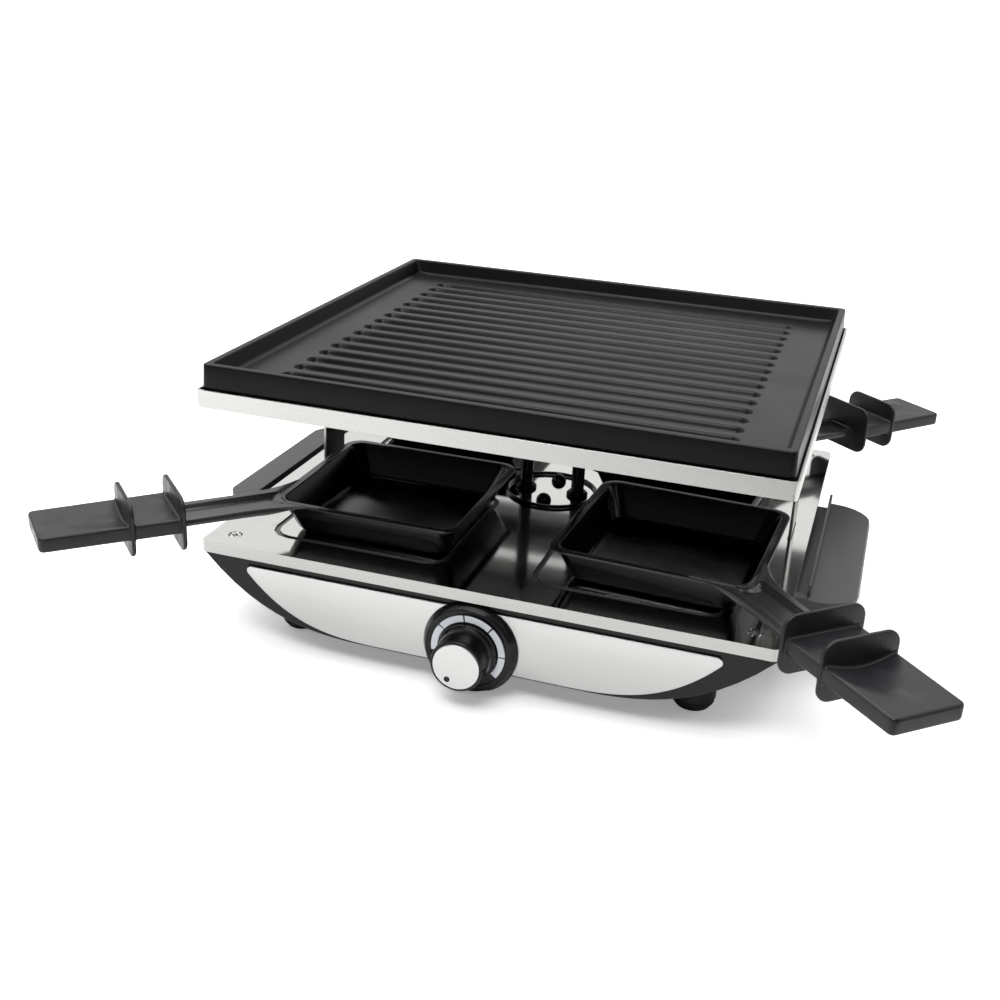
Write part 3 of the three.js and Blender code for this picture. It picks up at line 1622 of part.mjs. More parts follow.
// Assembly: knob group
addPiece("bezel", bezel(), glossPlastic);
addPiece("dial_ring", dialRing(), dialPrint);
addPiece("knob_body", knobBody(), glossPlastic);
addPiece("knob_cap", knobCap(), silverCap);
addPiece(
  "knob_shaft",
  shaft(0, yKnobBack - shaftInKnob + clearance, yThermostatFront + thermostatLength / 2),
  dullSteel,
);

// Assembly: pans, each in its own group turned to its diagonal
for (const { name, x, y, handle } of pans) {
  const pan = new THREE.Group();
  pan.position.set(x, y, 0);
  pan.rotation.z = THREE.MathUtils.degToRad(handle);
  addPiece("pan_tray_" + name, panTray(), panCoating, pan);
  addPiece("pan_grip_" + name, panGrip(), greyPlastic, pan);
  object.add(pan);
}

export default object;
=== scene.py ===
# %% [markdown]
# A raclette grill, dressed piece by piece
#
# The solids of this grill were made elsewhere, in exact sizes. Here each of them gets the look of the
# real thing: cast metal with a dark coating, brushed sheet steel, glossy black pans, satin plastic.
# All sizes are in millimetres until a mesh is made, and Blender's own unit is the metre.

# %% Load the fixed frame
import json
import math

import bmesh
import bpy
import numpy as np
from mathutils import Matrix, Vector

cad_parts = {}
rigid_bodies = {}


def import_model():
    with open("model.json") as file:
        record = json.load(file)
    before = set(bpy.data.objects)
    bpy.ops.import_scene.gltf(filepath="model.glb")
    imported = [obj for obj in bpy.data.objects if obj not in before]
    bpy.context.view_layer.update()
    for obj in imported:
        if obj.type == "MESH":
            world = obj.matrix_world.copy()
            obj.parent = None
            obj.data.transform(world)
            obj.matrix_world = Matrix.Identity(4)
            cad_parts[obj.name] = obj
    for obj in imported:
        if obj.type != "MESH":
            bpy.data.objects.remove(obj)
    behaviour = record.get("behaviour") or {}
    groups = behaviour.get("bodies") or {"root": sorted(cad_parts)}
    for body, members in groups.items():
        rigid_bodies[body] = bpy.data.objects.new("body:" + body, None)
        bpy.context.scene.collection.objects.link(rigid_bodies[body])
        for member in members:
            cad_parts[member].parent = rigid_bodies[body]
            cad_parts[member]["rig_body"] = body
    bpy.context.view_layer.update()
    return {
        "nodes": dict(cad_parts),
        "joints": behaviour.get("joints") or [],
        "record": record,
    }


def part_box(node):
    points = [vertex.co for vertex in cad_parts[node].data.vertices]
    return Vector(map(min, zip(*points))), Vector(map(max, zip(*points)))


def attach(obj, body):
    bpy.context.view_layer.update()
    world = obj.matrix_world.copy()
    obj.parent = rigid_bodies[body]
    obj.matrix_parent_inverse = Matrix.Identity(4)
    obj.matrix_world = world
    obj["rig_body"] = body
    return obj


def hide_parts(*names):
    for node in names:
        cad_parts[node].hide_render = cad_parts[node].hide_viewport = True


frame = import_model()
nodes = frame["nodes"]
scene = bpy.context.scene
MM = 0.001

# %% [markdown]
# Tools for meshes
#
# A surface is a grid of points: each row is a closed loop, and the rows are stacked along the piece.
# Each small square of four neighbours is a face, and the last column joins the first. Numpy works out
# all the points at once, so there is no loop over vertices.
# Where a row shrinks to one point, such as in the middle of a knob, the doubles are merged afterwards.

# %% Surfaces from grids
MERGE = 0.002  # points closer than this, in mm, become one
SHARP = 35  # an edge that turns by more degrees than this is shaded as an edge


def grid_faces(rows, columns, start):
    """Four-sided faces of a grid, with the number start + r * columns + c for row r and column c."""
    index = start + np.arange(rows * columns).reshape(rows, columns)
    index = np.hstack([index, index[:, :1]])
    return np.stack([index[:-1, :-1], index[:-1, 1:], index[1:, 1:], index[1:, :-1]], -1).reshape(-1, 4)


def tidied(mesh, sharp):
    """Merges doubles, turns all faces outwards, and shades smooth except over sharp edges."""
    work = bmesh.new()
    work.from_mesh(mesh)
    bmesh.ops.remove_doubles(work, verts=work.verts, dist=MERGE * MM)
    bmesh.ops.dissolve_degenerate(work, edges=work.edges, dist=1e-7)
    bmesh.ops.recalc_face_normals(work, faces=work.faces)
    work.to_mesh(mesh)
    work.free()
    mesh.shade_smooth()
    mesh.set_sharp_from_angle(angle=math.radians(sharp))
    return mesh


def mesh_of(name, skins, sharp):
    """One mesh from several skins, each a pair (points, closed).

    points has the shape (rows, columns, 3), in mm. A closed skin also gets one face over its first
    row and one over its last.
    """
    points, faces, start = [], [], 0
    for grid, closed in skins:
        rows, columns = grid.shape[:2]
        points.append(grid.reshape(-1, 3))
        faces += grid_faces(rows, columns, start).tolist()
        if closed:
            first = list(range(start, start + columns))
            faces += [first[::-1], [(rows - 1) * columns + number for number in first]]
        start += rows * columns
    mesh = bpy.data.meshes.new(name)
    mesh.from_pydata((np.vstack(points) * MM).tolist(), [], faces)
    return tidied(mesh, sharp)


# %% [markdown]
# Pieces
#
# Every piece moves with the body of one node, and mostly stands for it, so the plain solid isn't seen.
# Bent sheet, screws and moulded blocks already have the right shape, but no real edge is razor sharp:
# a bend in thin sheet has a radius of about its thickness, and it catches a line of light. The solid
# stays untouched, so a copy is merged, its flat areas are joined, and a bevel rounds its edges.

# %% Pieces, and softened copies of solids
BEND_ANGLE = 28  # edges that turn by more degrees than this are rounded
FLAT_ANGLE = 0.6  # faces that turn by fewer degrees than this are joined


def slot_of(node):
    """The material slot that the record gives to a node."""
    return next(part["material_slot"] for part in frame["record"]["subparts"] if part["node"] == node)


def piece(name, mesh, coat, node, replaces=True, slot=None):
    """Puts a mesh in the scene as a piece on the body of a node.

    It stands for the node unless the call says otherwise, and slot is not used.
    """
    thing = bpy.data.objects.new(name, mesh)
    scene.collection.objects.link(thing)
    mesh.materials.clear()
    mesh.materials.append(coat)
    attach(thing, nodes[node]["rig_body"])
    if replaces:
        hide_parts(node)
    return thing


def drawn(name, skins, coat, node, sharp=SHARP, **more):
    """A piece made of skins."""
    piece(name, mesh_of(name, skins, sharp), coat, node, **more)


def softened(node, coat, edge):
    """A copy of a solid with its sharp edges rounded to the given width in mm."""
    mesh = bpy.data.meshes.new("soft_" + node)
    work = bmesh.new()
    work.from_mesh(nodes[node].data)
    bmesh.ops.remove_doubles(work, verts=work.verts, dist=MERGE * MM)
    bmesh.ops.dissolve_limit(work, angle_limit=math.radians(FLAT_ANGLE), verts=work.verts, edges=work.edges)
    work.to_mesh(mesh)
    work.free()
    mesh.shade_smooth()
    mesh.set_sharp_from_angle(angle=math.radians(BEND_ANGLE))
    thing = piece("soft_" + node, mesh, coat, node)
    bevel = thing.modifiers.new("rounded edges", "BEVEL")
    bevel.width = edge * MM
    bevel.segments = 2
    bevel.limit_method = "ANGLE"
    bevel.angle_limit = math.radians(BEND_ANGLE)
    bevel.harden_normals = True


# %% [markdown]
# Outlines and profiles
#
# Most pieces of this grill are one of three kinds. A lathe shape is a profile turned round an axis.
# A pressed or cast shape is a profile carried round a rounded rectangle. A bar is a section carried
# along a line.
# In each kind the profile is a line of straight stretches with arcs at its corners. An arc that
# touches both stretches starts radius / tan(half the corner's angle) away from the corner.


# %% Lines with round corners
def rounded_line(points, radii, steps=5):
    """The line through the points, with an arc at each point between the first and the last.

    A radius of 0 keeps the corner.
    """
    points = np.asarray(points, float)
    line = [points[:1]]
    for before, corner, after, radius in zip(points[:-2], points[1:-1], points[2:], radii):
        if radius == 0:
            line.append(corner[None])
            continue
        back = (before - corner) / np.linalg.norm(before - corner)
        ahead = (after - corner) / np.linalg.norm(after - corner)
        half = math.acos(np.clip(back @ ahead, -1, 1)) / 2
        middle = corner + (back + ahead) / np.linalg.norm(back + ahead) * radius / math.sin(half)
        start = corner + back * radius / math.tan(half) - middle
        end = corner + ahead * radius / math.tan(half) - middle
        turn = math.atan2(start[0] * end[1] - start[1] * end[0], start @ end)
        angle = np.linspace(0, turn, steps + 1)[:, None]
        line.append(middle + start * np.cos(angle) + np.array([-start[1], start[0]]) * np.sin(angle))
    line.append(points[-1:])
    return np.vstack(line)


def carried_round(width, depth, radius, profile, steps, least=1.2):
    """A profile of (inset, height) carried round a rectangle with round corners.

    An inset moves the outline inwards and makes its corners tighter by as much, down to the least
    radius. Where it reaches the middle, the loop shrinks to a point or a line. The result has the
    shape (profile points, loop points, 3).
    """
    inset, height = np.asarray(profile, float).T[..., None]
    least = min(least, radius)
    corner = np.minimum(np.maximum(radius - inset, least), min(width, depth) / 2 - inset)
    quarter = np.repeat(np.arange(4), steps + 1)[None, :] * math.pi / 2
    angle = quarter + np.tile(np.linspace(0, math.pi / 2, steps + 1), 4)[None, :]
    towards = quarter + math.pi / 4
    x = np.sign(np.cos(towards)) * (width / 2 - inset - corner) + corner * np.cos(angle)
    y = np.sign(np.sin(towards)) * (depth / 2 - inset - corner) + corner * np.sin(angle)
    return np.stack([x, y, np.broadcast_to(height, x.shape)], -1)


def spun(profile, middle, steps, forward=False):
    """A profile of (radius, height) turned round an upright axis through (x, y).

    At each angle a point is the middle plus the radius times the angle's cosine and sine. With
    forward, the axis lies along Y and goes through (x, z), and the height is y.
    """
    radius, height = np.asarray(profile, float).T[..., None]
    angle = np.linspace(0, 2 * math.pi, steps, endpoint=False)[None, :]
    a = middle[0] + radius * np.cos(angle)
    b = middle[1] + radius * np.sin(angle)
    along = np.broadcast_to(height, a.shape)
    return np.stack([a, along, b] if forward else [a, b, along], -1)


def ease(x, start, end):
    """0 before start, 1 after end, and the smooth step 3 t^2 - 2 t^3 between, at the share t."""
    t = np.clip((x - start) / (end - start), 0, 1)
    return t * t * (3 - 2 * t)


def box_mm(node):
    """Lowest and highest corner of a solid, in mm."""
    return np.array(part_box(node)) / MM


def points_mm(mesh):
    """All points of a mesh, in mm."""
    points = np.empty(len(mesh.vertices) * 3)
    mesh.vertices.foreach_get("co", points)
    return points.reshape(-1, 3) / MM


# %% [markdown]
# Shader groups
#
# Several finishes share an effect: the fine lines of brushed steel, the faint grain of moulded
# plastic, the cloudy marks that handling leaves. Each is a node group, built once, that reads
# positions on the object itself, so it stays in place when the view turns.


# %% Helpers for nodes
def add_node(tree, kind, sockets=(), **values):
    """A new shader node with its properties set from values, and its input sockets from pairs."""
    made = tree.nodes.new("ShaderNode" + kind)
    for key, value in values.items():
        setattr(made, key, value)
    for label, value in sockets:
        made.inputs[label].default_value = value
    return made


def math_node(tree, operation, a, b):
    """The result of one sum on two values, each a socket or a number."""
    made = add_node(tree, "Math", operation=operation)
    for place, value in enumerate((a, b)):
        if isinstance(value, (int, float)):
            made.inputs[place].default_value = value
        else:
            tree.links.new(value, made.inputs[place])
    return made.outputs[0]


def remapped(tree, value, span, result, smooth=True):
    """The socket's value moved from one span to another, straight or with a smooth step."""
    ends = zip(("From Min", "From Max", "To Min", "To Max"), (*span, *result))
    kind = "SMOOTHSTEP" if smooth else "LINEAR"
    made = add_node(tree, "MapRange", ends, interpolation_type=kind)
    tree.links.new(value, made.inputs["Value"])
    return made.outputs["Result"]


def group(name, inputs, outputs):
    """An empty shader group: inputs are (name, type, value), and outputs are names of numbers."""
    tree = bpy.data.node_groups.new(name, "ShaderNodeTree")
    for label, kind, value in inputs:
        socket = tree.interface.new_socket(name=label, in_out="INPUT", socket_type=kind)
        socket.default_value = value
    for label in outputs:
        tree.interface.new_socket(name=label, in_out="OUTPUT", socket_type="NodeSocketFloat")
    return tree, tree.nodes.new("NodeGroupInput"), tree.nodes.new("NodeGroupOutput")


# %% Brushed lines, grain and smudges
def brushed_lines_group():
    """Noise squeezed along one direction.

    Stretch scales the three axes, so a small number means long lines that way.
    """
    tree, into, out = group("Brushed lines", [("Stretch", "NodeSocketVector", (40, 4000, 4000))],
                            ["Lines", "Streaks"])
    place = add_node(tree, "TexCoord")
    stretched = add_node(tree, "VectorMath", operation="MULTIPLY")
    tree.links.new(place.outputs["Object"], stretched.inputs[0])
    tree.links.new(into.outputs["Stretch"], stretched.inputs[1])
    for label, scale, detail in (("Lines", 1.0, 3.0), ("Streaks", 0.12, 2.0)):
        noise = add_node(tree, "TexNoise", [("Scale", scale), ("Detail", detail)])
        tree.links.new(stretched.outputs[0], noise.inputs["Vector"])
        tree.links.new(noise.outputs[0], out.inputs[label])
    return tree


def sized_noise(tree, into, **values):
    """Noise whose spots are as wide as the group's Size, in metres."""
    place = add_node(tree, "TexCoord")
    noise = add_node(tree, "TexNoise", values.items())
    tree.links.new(place.outputs["Object"], noise.inputs["Vector"])
    tree.links.new(math_node(tree, "DIVIDE", 1.0, into.outputs["Size"]), noise.inputs["Scale"])
    return noise.outputs[0]


def grain_group():
    """Small even bumps, as a mould leaves on plastic or a sprayed coating on metal."""
    tree, into, out = group("Fine grain", [("Size", "NodeSocketFloat", 0.0006)], ["Grain"])
    tree.links.new(sized_noise(tree, into, Detail=2.0, Roughness=0.6), out.inputs["Grain"])
    return tree


def smudge_group():
    """Slow cloudy changes, from 0 to 1, as handling and wiping leave on a shiny surface."""
    inputs = [("Size", "NodeSocketFloat", 0.03), ("Contrast", "NodeSocketFloat", 2.0)]
    tree, into, out = group("Smudges", inputs, ["Smudge"])
    cloud = sized_noise(tree, into, Detail=4.0, Roughness=0.55, Distortion=0.4)
    spread = math_node(tree, "MULTIPLY", math_node(tree, "SUBTRACT", cloud, 0.5), into.outputs["Contrast"])
    raised = add_node(tree, "Math", [(1, 0.5)], operation="ADD", use_clamp=True)
    tree.links.new(spread, raised.inputs[0])
    tree.links.new(raised.outputs[0], out.inputs["Smudge"])
    return tree


brushed_lines = brushed_lines_group()
fine_grain = grain_group()
smudges = smudge_group()
print("shader groups:", [made.name for made in (brushed_lines, fine_grain, smudges)])

# %% [markdown]
# Finishes
#
# Every finish is one Principled shader. What is the same all over, such as how strongly it mirrors,
# is a plain number on the shader. What changes over the surface, such as colour, roughness and
# height, comes from the groups.


# %% The material builder
def finish(name, colour, roughness, metallic=0.0, *, bump, grain=None, lines=None, smudge=None,
           tint=0.0, specular=0.5, brushed=0.0):
    """A Principled material with either grain or brushed lines on it.

    colour and roughness are middle values. grain and smudge are (size in m, roughness change), and
    lines is (stretch, roughness change). bump is the height of grain or lines in mm, and tint is the
    share by which they darken and lighten the colour. brushed draws the reflections out.
    """
    material = bpy.data.materials.new(name)
    material.use_nodes = True
    tree = material.node_tree
    shader = tree.nodes["Principled BSDF"]
    for label, value in (("Base Color", (*colour, 1)), ("Metallic", metallic), ("Roughness", roughness),
                         ("Specular IOR Level", specular), ("Anisotropic", brushed)):
        shader.inputs[label].default_value = value

    def around_middle(value, change):
        """change times the distance of a value from one half."""
        return math_node(tree, "MULTIPLY", math_node(tree, "SUBTRACT", value, 0.5), change)

    if grain:
        made = add_node(tree, "Group", [("Size", grain[0])], node_tree=fine_grain)
        height = shade = made.outputs["Grain"]
        rough = around_middle(height, grain[1])
    else:
        made = add_node(tree, "Group", [("Stretch", lines[0])], node_tree=brushed_lines)
        height, shade = made.outputs["Lines"], made.outputs["Streaks"]
        rough = around_middle(height, lines[1])
    if smudge:
        made = add_node(tree, "Group", [("Size", smudge[0])], node_tree=smudges)
        rough = math_node(tree, "ADD", rough, around_middle(made.outputs["Smudge"], smudge[1]))
    tree.links.new(math_node(tree, "ADD", rough, roughness), shader.inputs["Roughness"])
    if tint:
        dark = (*[c * (1 - tint) for c in colour], 1)
        light = (*[min(1, c * (1 + tint)) for c in colour], 1)
        mix = add_node(tree, "Mix", [("A", dark), ("B", light)], data_type="RGBA")
        tree.links.new(shade, mix.inputs["Factor"])
        tree.links.new(mix.outputs["Result"], shader.inputs["Base Color"])
    raised = add_node(tree, "Bump", [("Distance", bump * MM)])
    tree.links.new(height, raised.inputs["Height"])
    tree.links.new(raised.outputs["Normal"], shader.inputs["Normal"])
    return material


# %% The finishes of this grill
ALONG_X, ALONG_Z = (25, 5200, 5200), (5200, 5200, 25)
cast_coating = finish(
    "cast coating", (0.0035, 0.0035, 0.004), 0.31, grain=(0.0005, 0.12), smudge=(0.05, 0.10),
    bump=0.010, tint=0.10, specular=0.17)
band_steel = finish(
    "brushed band steel", (0.57, 0.565, 0.55), 0.28, 1.0, lines=(ALONG_X, 0.16), smudge=(0.06, 0.06),
    bump=0.002, tint=0.05, brushed=0.5)
fascia_steel = finish(
    "satin fascia steel", (0.62, 0.62, 0.61), 0.30, 1.0, lines=(ALONG_X, 0.06), smudge=(0.05, 0.05),
    bump=0.0008, tint=0.02)
plate_steel = finish(
    "polished plate steel", (0.58, 0.575, 0.56), 0.09, 1.0, lines=(ALONG_X, 0.05), smudge=(0.05, 0.03),
    bump=0.0007, tint=0.04, brushed=0.2)
rim_steel = finish(
    "folded rim steel", (0.47, 0.465, 0.45), 0.26, 1.0, lines=(ALONG_X, 0.14), bump=0.002, tint=0.05)
# Darker and rougher than the top: the darker colour in the grooves is painted shade.
groove_painted_shade_steel = finish(
    "pressed groove steel, darker as painted shade", (0.17, 0.17, 0.165), 0.42, 1.0, lines=(ALONG_X, 0.08), bump=0.001)
column_steel = finish(
    "column steel", (0.42, 0.42, 0.41), 0.22, 1.0, lines=(ALONG_Z, 0.12), bump=0.0015, tint=0.04,
    brushed=0.4)
screw_steel = finish(
    "plated screw steel", (0.62, 0.62, 0.62), 0.20, 1.0, grain=(0.0008, 0.05), bump=0.002)
# Black steel; on the domed screws the black is partly a painted reflection of the dark underside they
# mirror.
black_steel_and_painted_reflection = finish(
    "black steel and painted reflection", (0.012, 0.012, 0.013), 0.26, grain=(0.0008, 0.06), bump=0.003,
    specular=0.6)
# Black on the inside faces of the housing: painted shade for its shadowed gap and underside.
housing_inside_painted_shade = finish(
    "housing inside, black as painted shade", (0.004, 0.004, 0.004), 0.45, grain=(0.0008, 0.10), bump=0.005,
    tint=0.15, specular=0.2)
dull_steel = finish(
    "dull steel", (0.36, 0.36, 0.37), 0.42, 1.0, grain=(0.0010, 0.10), bump=0.004, tint=0.10)
element_steel = finish(
    "heated element steel", (0.20, 0.19, 0.19), 0.45, 1.0, grain=(0.0012, 0.15), smudge=(0.02, 0.2),
    bump=0.004, tint=0.25)
pan_coating = finish(
    "pan coating", (0.0018, 0.0018, 0.002), 0.17, grain=(0.0006, 0.05), smudge=(0.03, 0.06),
    bump=0.003, specular=0.40)
# Lighter than the pan coating of the same sheet: a painted sheen for the light on the shank's ridges.
shank_painted_sheen = finish(
    "shank coating, lighter as painted sheen", (0.020, 0.020, 0.021), 0.25, grain=(0.0006, 0.06), smudge=(0.03, 0.08),
    bump=0.004, specular=0.60)
grip_plastic = finish(
    "grip plastic", (0.013, 0.0135, 0.015), 0.36, grain=(0.00045, 0.16), smudge=(0.012, 0.30),
    bump=0.024, tint=0.35, specular=0.30)
wing_plastic = finish(
    "wing plastic", (0.034, 0.034, 0.036), 0.40, grain=(0.00035, 0.08), smudge=(0.05, 0.05),
    bump=0.006, tint=0.06)
shell_plastic = finish(
    "shell plastic", (0.008, 0.008, 0.009), 0.36, grain=(0.0005, 0.08), smudge=(0.05, 0.06),
    bump=0.006, tint=0.10, specular=0.3)
gloss_plastic = finish(
    "gloss plastic", (0.003, 0.003, 0.0035), 0.22, grain=(0.0012, 0.03), smudge=(0.02, 0.05),
    bump=0.002, specular=0.30)
dial_print = finish(
    "dial print", (0.76, 0.79, 0.84), 0.40, grain=(0.0005, 0.05), bump=0.002, tint=0.05)
cap_silver = finish(
    "cap silver", (0.71, 0.71, 0.70), 0.38, 0.7, grain=(0.0004, 0.06), bump=0.002, tint=0.03)
rubber = finish(
    "foot rubber", (0.012, 0.012, 0.012), 0.65, grain=(0.0005, 0.12), bump=0.015, tint=0.15,
    specular=0.3)
sleeving = finish(
    "woven wire sleeving", (0.50, 0.49, 0.44), 0.75, grain=(0.0006, 0.10), bump=0.06, tint=0.25)
print(len(bpy.data.materials), "materials")

# %% [markdown]
# Solids that keep their shape
#
# Folded sheet, tubes, screws and moulded blocks could be drawn again, but their solids already have
# the right shape, so a copy with rounded edges is enough. Each wears one finish, with its edges
# rounded by the width in mm beside it. At a width of 0 the solid shows as it is, such as a wire, which
# has no edge to round.

# %% Which solid wears which finish
wears = {
    "heater_housing": (band_steel, 0.35), "heating_element": (element_steel, 0),
    "base_top_plate": (plate_steel, 0.35), "base_shell": (shell_plastic, 0.4),
    "bottom_cover": (dull_steel, 0.3), "terminal_block": (shell_plastic, 0.5),
    "cord_gland": (shell_plastic, 0.4), "thermostat_body": (shell_plastic, 0.5),
    "leg_collar": (black_steel_and_painted_reflection, 0.15), "thermostat_bracket": (dull_steel, 0.3),
    "thermostat_wire": (sleeving, 0), "mains_wire": (sleeving, 0), "knob_shaft": (dull_steel, 0.2),
}
families = {
    "element_strap": (screw_steel, 0.2), "leg_sleeve": (black_steel_and_painted_reflection, 0.1),
    "leg_grommet": (shell_plastic, 0.3), "side_column": (column_steel, 0.35),
    "column_screw": (screw_steel, 0.2), "side_wing": (wing_plastic, 0.6),
    "cover_screw": (dull_steel, 0.2), "plate_screw": (screw_steel, 0.15),
}
for label in nodes:
    for start, choice in families.items():
        if label.startswith(start):
            wears[label] = choice

for label, (coat, edge) in wears.items():
    if edge:
        softened(label, coat, edge)
    else:
        nodes[label].data.materials.clear()
        nodes[label].data.materials.append(coat)
print("dressed", len(wears), "solids")

# %% [markdown]
# Two finishes on one sheet
#
# The housing is bright outside and black inside, where the black is painted shade for the shadowed
# gap at its top and its shaded underside. The base plate is polished on top, brushed on its folded
# rim, and dull in its pressed grooves, which are darker there as painted shade. Each parting line runs
# along an edge, so whole faces are picked, by how far their corners lie from the sides of the piece's
# own box.

# %% Enamel, grooves and rim
SIDE_SKIN = 2.0  # faces of the housing within this distance of its sides are outside faces
RIM_SKIN = 2.5  # the same for the folded rim of the base plate
RIM_DROP = 2.0  # a face of the rim reaches at least this far below the top
BAY_INSET = 12.0  # the bay grooves are farther from the sides than this
BAY_NEAREST, BAY_DEEPEST = 0.05, 1.3  # how far below the top their faces' lowest corner lies


def second_finish(name, coat, chosen):
    """Gives a second finish to the faces for which chosen(corners, low, high) is true, in mm."""
    mesh = bpy.data.objects[name].data
    mesh.materials.append(coat)
    points = points_mm(mesh)
    low, high = points.min(0), points.max(0)
    picked = [face for face in mesh.polygons if chosen(points[list(face.vertices)], low, high)]
    for face in picked:
        face.material_index = len(mesh.materials) - 1
    mesh.update()
    print(name, "has", len(picked), "faces in", coat.name)


def from_the_sides(corners, low, high):
    """How far each corner lies inside the box, seen from above."""
    return np.minimum(corners - low, high - corners)[:, :2].min(1)


def inside_housing(corners, low, high):
    """True where a corner lies farther in than the skin of the housing."""
    return from_the_sides(corners, low, high).max() > SIDE_SKIN


def in_a_groove(corners, low, high):
    """True where all corners are away from the sides and the lowest is a little below the top."""
    below = high[2] - corners[:, 2].min()
    return from_the_sides(corners, low, high).min() > BAY_INSET and BAY_NEAREST < below < BAY_DEEPEST


def on_the_rim(corners, low, high):
    """True where all corners are close to the sides and the lowest is well below the top."""
    below = high[2] - corners[:, 2].min()
    return from_the_sides(corners, low, high).max() < RIM_SKIN and below > RIM_DROP


# The inside of the housing is painted black as shade.
second_finish("soft_heater_housing", housing_inside_painted_shade, inside_housing)
# The grooves are darker than the top as painted shade.
second_finish("soft_base_top_plate", groove_painted_shade_steel, in_a_groove)
second_finish("soft_base_top_plate", rim_steel, on_the_rim)

# %% [markdown]
# The grill plate
#
# The plate is one casting: a floor with sixteen sunk grooves, a wall whose inner face leans out, and a
# rim with a small round on both edges. Every groove is a stadium, which is a stretch with a half
# circle at each end. So it is drawn as loops round its own spine, and the height depends only on the
# distance from it.
# The last loop of a groove is a rectangle one pitch deep, so sixteen of them fit side by side. From
# there the floor, the wall, the rim and the underside are a profile carried round.

# %% Grill plate
GROOVES = 16
GROOVE_PITCH = 14.15
GROOVE_HALF = 113.0  # half the length
GROOVE_RADIUS, GROOVE_FLOOR = 4.9, 2.6  # half the width at the top and at the bottom
GROOVE_DEPTH = 3.0
GROOVE_LOOPS = (0, 1.2, 2.1, GROOVE_FLOOR, 3.0, 3.5, 4.0, 4.4, 4.7, GROOVE_RADIUS, 5.4)
FIELD_HALF = GROOVE_HALF + 3
STRAIGHT_STEPS, END_STEPS, CORNER_STEPS = 40, 6, 8
FLOOR_BELOW_RIM = 8.5
RIM_THICKNESS = 3.7
RIM_INSET = 0.6  # the rim's outer edge lies this far inside the foot's
WALL_FOOT = 6.6  # inset of the wall's inner foot
STEP_INSET, STEP_DEPTH = 7.0, 2.1  # from this inset inwards, the underside is this much lower
PLATE_GAP = 0.3  # the wall's foot stays this far above the housing
OUTER_CORNER, LEAST_CORNER, INNER_CORNER = 3.2, 2.0, 6.0
STUD_INSET, STUD_RADIUS = 11.4, 4.0


def groove_cell(middle, floor):
    """One groove and the flat floor round it, from the spine out to a rectangle one pitch deep.

    At a distance d from the spine the point lies below the floor by the groove's depth times a
    smooth step, which falls from 1 at half the bottom's width to 0 at half the top's width.
    """
    reach = GROOVE_HALF - GROOVE_RADIUS
    along = np.linspace(-reach, reach, STRAIGHT_STEPS + 1)
    turn = np.linspace(math.pi / 2, -math.pi / 2, END_STEPS + 1)[1:-1]
    spine_x = np.concatenate([along, np.full(len(turn), reach), along[::-1], np.full(len(turn), -reach)])
    side = np.concatenate([np.ones(len(along)), np.sin(turn), -np.ones(len(along)), -np.sin(turn)])
    out = np.concatenate([np.zeros(len(along)), np.cos(turn), np.zeros(len(along)), -np.cos(turn)])
    far = np.array(GROOVE_LOOPS)[:, None]
    down = 1 - ease(far, GROOVE_FLOOR, GROOVE_RADIUS)
    x = spine_x + far * out
    y = middle + far * side
    z = floor - GROOVE_DEPTH * down + np.zeros_like(x)
    end = np.where(np.abs(spine_x) < reach, spine_x * FIELD_HALF / reach, FIELD_HALF * np.sign(spine_x))
    share = np.where(out != 0, np.arcsin(side) / (math.pi / 2), side)
    edge_y = middle + share * GROOVE_PITCH / 2
    outer = np.stack([end, edge_y, np.full_like(end, floor)], -1)[None]
    return np.concatenate([np.stack([x, y, z], -1), outer])


def plate_floor_edge():
    """The rectangle round all the groove cells, and its counts of points per side and corner.

    Each corner is repeated so that a round corner can be joined to it.
    """
    half = GROOVES * GROOVE_PITCH / 2
    x = np.linspace(-FIELD_HALF, FIELD_HALF, STRAIGHT_STEPS + 1)
    step = GROOVE_PITCH / 2 * (1 + np.linspace(-1, 1, END_STEPS + 1)[:-1])
    y = np.concatenate([GROOVE_PITCH * (row - GROOVES / 2) + step for row in range(GROOVES)] + [[half]])
    again = np.ones(CORNER_STEPS - 1)
    sides = [
        (np.full_like(y, FIELD_HALF), y), (FIELD_HALF * again, half * again),
        (x[::-1], np.full_like(x, half)), (-FIELD_HALF * again, half * again),
        (np.full_like(y, -FIELD_HALF), y[::-1]), (-FIELD_HALF * again, -half * again),
        (x, np.full_like(x, -half)), (FIELD_HALF * again, -half * again),
    ]
    return np.concatenate([np.stack(side, -1) for side in sides]), (len(y), len(x), len(again))


def plate_ring(width, depth, radius, counts):
    """A rounded rectangle with as many points on each side and corner as the floor's edge has.

    Each side and the corner after it are worked out at +X and then turned to their quarter.
    """
    tall, wide, corner = counts
    x, y = width / 2 - radius, depth / 2 - radius
    arc = np.linspace(0, math.pi / 2, corner + 2)[1:-1]
    sides = []
    for quarter in range(4):
        count, reach, out = (tall, y, x) if quarter % 2 == 0 else (wide, x, y)
        side = np.stack([np.full(count, out + radius), np.linspace(-reach, reach, count)], -1)
        bend = np.stack([out + radius * np.cos(arc), reach + radius * np.sin(arc)], -1)
        c, s = ((1, 0), (0, 1), (-1, 0), (0, -1))[quarter]
        sides.append(np.vstack([side, bend]) @ np.array([[c, s], [-s, c]]))
    return np.concatenate(sides)


